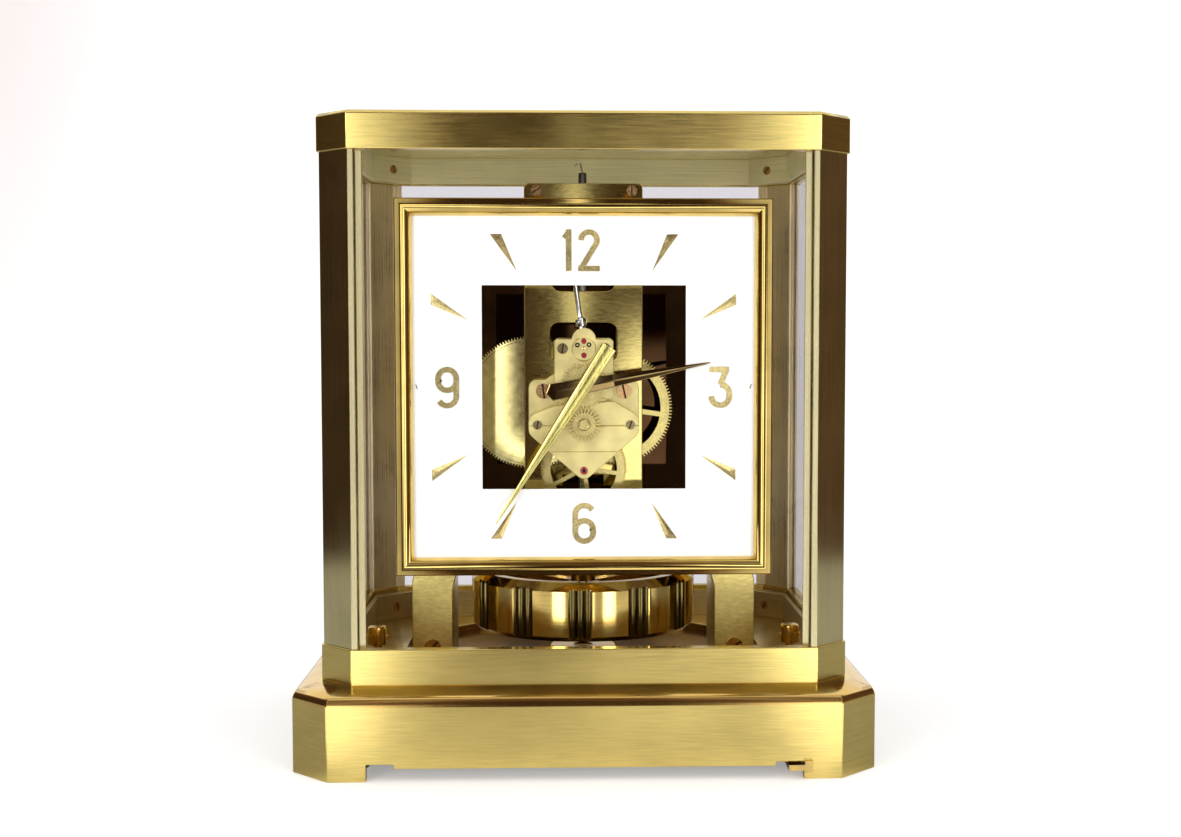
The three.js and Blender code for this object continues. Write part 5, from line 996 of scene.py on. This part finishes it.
stretched("bellows_capsule", wheel_brass, 60.0, "thrust_plate_body", "clock_case")
stretched("expansion_spring", bright_steel, 80.0, "clock_case", "thrust_plate_body")
stretched("winding_chain", bright_steel, 50.0, "clock_case", "thrust_plate_body", fixed=6 * MM)

# Dial. A square plate in white lacquer with a square window, its hour figures and wedge
# markers cut from gilt sheet, and a small screw at each side.
white_lacquer, coat = new_material("white_lacquer")
coat_place = coat.place()
orange_peel = coat.noise(coat_place, 700.0, 2.0)
coat_clouds = coat.noise(coat_place, 30.0, 3.0)
coat_tint = coat.blend(coat_clouds, (0.90, 0.895, 0.88, 1.0), (0.94, 0.94, 0.935, 1.0))
coat_bump = coat.add("ShaderNodeBump", {"Strength": 0.06, "Distance": 0.05 * MM, "Height": orange_peel})
coat.surface(coat.add("ShaderNodeBsdfPrincipled", {
    "Base Color": coat_tint, "Roughness": coat_clouds * 0.1 + 0.38, "Normal": coat_bump,
}))
machined("dial_plate", white_lacquer, 0.15)
figure_gilt = metal("figure_gilt", (0.84, 0.68, 0.30), 0.24, (0.9, 0.9, 0.9), 0.9, dull=0.1)
for node in ("numeral_12_first", "numeral_12_second", "numeral_3", "numeral_6", "numeral_9"):
    machined(node, figure_gilt, 0.12)

dial_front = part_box("dial_plate")[0].y
marker_width, marker_rise, marker_end = 4.2 * MM, 0.7 * MM, 0.18
marker_places = {
    "1": ((32.6, 192.8), (25.0, 179.2)), "2": ((56.1, 169.1), (42.5, 161.3)),
    "4": ((56.1, 104.2), (42.7, 111.8)), "5": ((32.4, 80.5), (24.8, 94.2)),
    "7": ((-32.5, 80.6), (-24.9, 94.4)), "8": ((-56.1, 104.2), (-42.4, 112.1)),
    "10": ((-56.2, 169.1), (-42.4, 161.3)), "11": ((-32.4, 192.8), (-24.6, 179.2)),
}


def marker(outer, tip):
    """A wedge with a ridge, its broad end parallel to the dial's edge."""
    start, end = Vector((outer[0], 0, outer[1])) * MM, Vector((tip[0], 0, tip[1])) * MM
    steep = abs(end.z - start.z) > abs(end.x - start.x)
    across = Vector((1, 0, 0)) if steep else Vector((0, 0, 1))
    front = Vector((0, dial_front, 0))
    crest = start.lerp(end, marker_end) + front - Vector((0, marker_rise, 0))
    foot = [start + front + way * across * marker_width / 2 for way in (-1, 1)]
    shell = bmesh.new()
    corners = [shell.verts.new(place) for place in (*foot, end + front, crest)]
    for face in ((0, 1, 3), (1, 2, 3), (2, 0, 3), (0, 2, 1)):
        shell.faces.new([corners[k] for k in face])
    return solid("marker", shell)


markers = together("dial_markers", [marker(*ends) for ends in marker_places.values()])
settle(markers, figure_gilt, body="clock_case")
screw_pair("dial_screws", 61.5, dial_front, 136.9, (0.9, 0.25, 0.3, 0.15), bright_steel, slot="steel")

# Bezel. A square frame of polished gilt brass with a flat rim and a deep cove, mitred at
# its corners, which holds the dial.
bezel_gilt = metal("bezel_gilt", (0.88, 0.64, 0.20), 0.045, (12.0, 12.0, 12.0), 0.15)
bezel_low, bezel_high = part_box("dial_bezel")
bezel_centre = (bezel_low + bezel_high) / 2
bezel_half = (bezel_high.x - bezel_low.x) / 2
dial_half = 66.3 * MM
opening_half = 62.75 * MM
bezel_rim = 1.9 * MM
lip_front = dial_front - 0.6 * MM


def mitred(name, profile):
    """A square frame swept from a closed profile of half width and place."""
    return wrapped(name, [[
        (bezel_centre.x + sx * half, y, bezel_centre.z + sz * half) for half, y in profile
    ] for sx, sz in ((1, 1), (-1, 1), (-1, -1), (1, -1))])


cove_depth = lip_front - bezel_low.y
cove_width = bezel_half - bezel_rim - opening_half
turns = [math.pi / 2 * k / 20 for k in range(21)]
cove = [(opening_half + cove_width * (1 - math.cos(a)), lip_front - cove_depth * math.sin(a)) for a in turns]
settle(dress(mitred("dial_bezel_finished", [
    (dial_half, bezel_high.y), (dial_half, dial_front), (opening_half, dial_front), *cove,
    (bezel_half - 0.4 * MM, bezel_low.y), (bezel_half, bezel_low.y + 0.4 * MM), (bezel_half, bezel_high.y),
]), 0.0, 30.0), bezel_gilt, ["dial_bezel"])

# Hands. Both are cut from brass. The hour hand has low polished bevels, and its brass is given a dark
# brown colour, a painted dark reflection; the minute hand above it is domed and brushed along its length.
hour_hand_painted_reflection_gilt = metal("hour_hand_painted_reflection_gilt", (0.36, 0.25, 0.10), 0.05, (10.0, 10.0, 10.0), 0.2)
minute_gilt = metal("minute_gilt", (0.92, 0.80, 0.26), 0.16, (0.5, 0.5, 6.0), 0.5)
wheel_low, wheel_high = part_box("hour_wheel")
hands_height = (wheel_low.z + wheel_high.z) / 2
hour_angle, minute_angle = 79.4, 212.8


def bevelled_hand(node, rings, angle, finish, smooth):
    """A hand from its outline up to its spine, turned clockwise from twelve about its axis."""
    low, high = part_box(node)
    shell = bmesh.new()
    levels = [[shell.verts.new((u * MM, high.y, v * MM)) for u, v in rings[0][1]]]
    for drop, ring in rings:
        levels.append([shell.verts.new((u * MM, low.y + drop * MM, v * MM)) for u, v in ring])
    for lower, upper in zip(levels, levels[1:]):
        for k in range(len(lower)):
            shell.faces.new((lower[k - 1], lower[k], upper[k], upper[k - 1]))
    shell.faces.new(levels[0][::-1])
    shell.faces.new(levels[-1])
    piece = solid(node + "_finished", shell)
    turn = Matrix.Rotation(math.radians(angle) - math.pi / 2, 4, "Y")
    piece.data.transform(Matrix.Translation((0, 0, hands_height)) @ turn)
    settle(dress(piece, 0.0, smooth), finish, [node])


def lengthwise(tail, half_tail, half_centre, tip, share):
    """The outline of a long hand at a share of its full width."""
    belly = 11
    tail, tip = tail + 1.2 * (1 - share), tip - 1.0 * (1 - share)
    wide, middle, narrow = half_tail * share, half_centre * share, 0.25 * share
    return [(tail, -wide), (belly, -middle), (tip, -narrow), (tip, narrow), (belly, middle), (tail, wide)]


bevelled_hand("hour_hand", [
    (0.12, [(-14.2, 0), (-12.3, -3.15), (11, -2.3), (47.3, -0.25), (47.3, 0.25), (11, 2.3), (-12.3, 3.15)]),
    (0.05, [(-13.9, 0), (-12.1, -2.85), (11, -2.05), (47.0, -0.15), (47.0, 0.15), (11, 2.05), (-12.1, 2.85)]),
    (0.0, [(-11.5, 0), (-10.6, -0.3), (11, -0.25), (46.0, -0.05), (46.0, 0.05), (11, 0.25), (-10.6, 0.3)]),
], hour_angle, hour_hand_painted_reflection_gilt, 1.0)
bevelled_hand("minute_hand", [
    (0.45 * (1 - math.sqrt(1 - share * share)) + 0.05 * (share > 0.99),
     lengthwise(-17.2, 2.8, 2.3, 60.0, share))
    for share in (1.0, 0.93, 0.82, 0.66, 0.48, 0.28, 0.1)
], minute_angle, minute_gilt, 40.0)
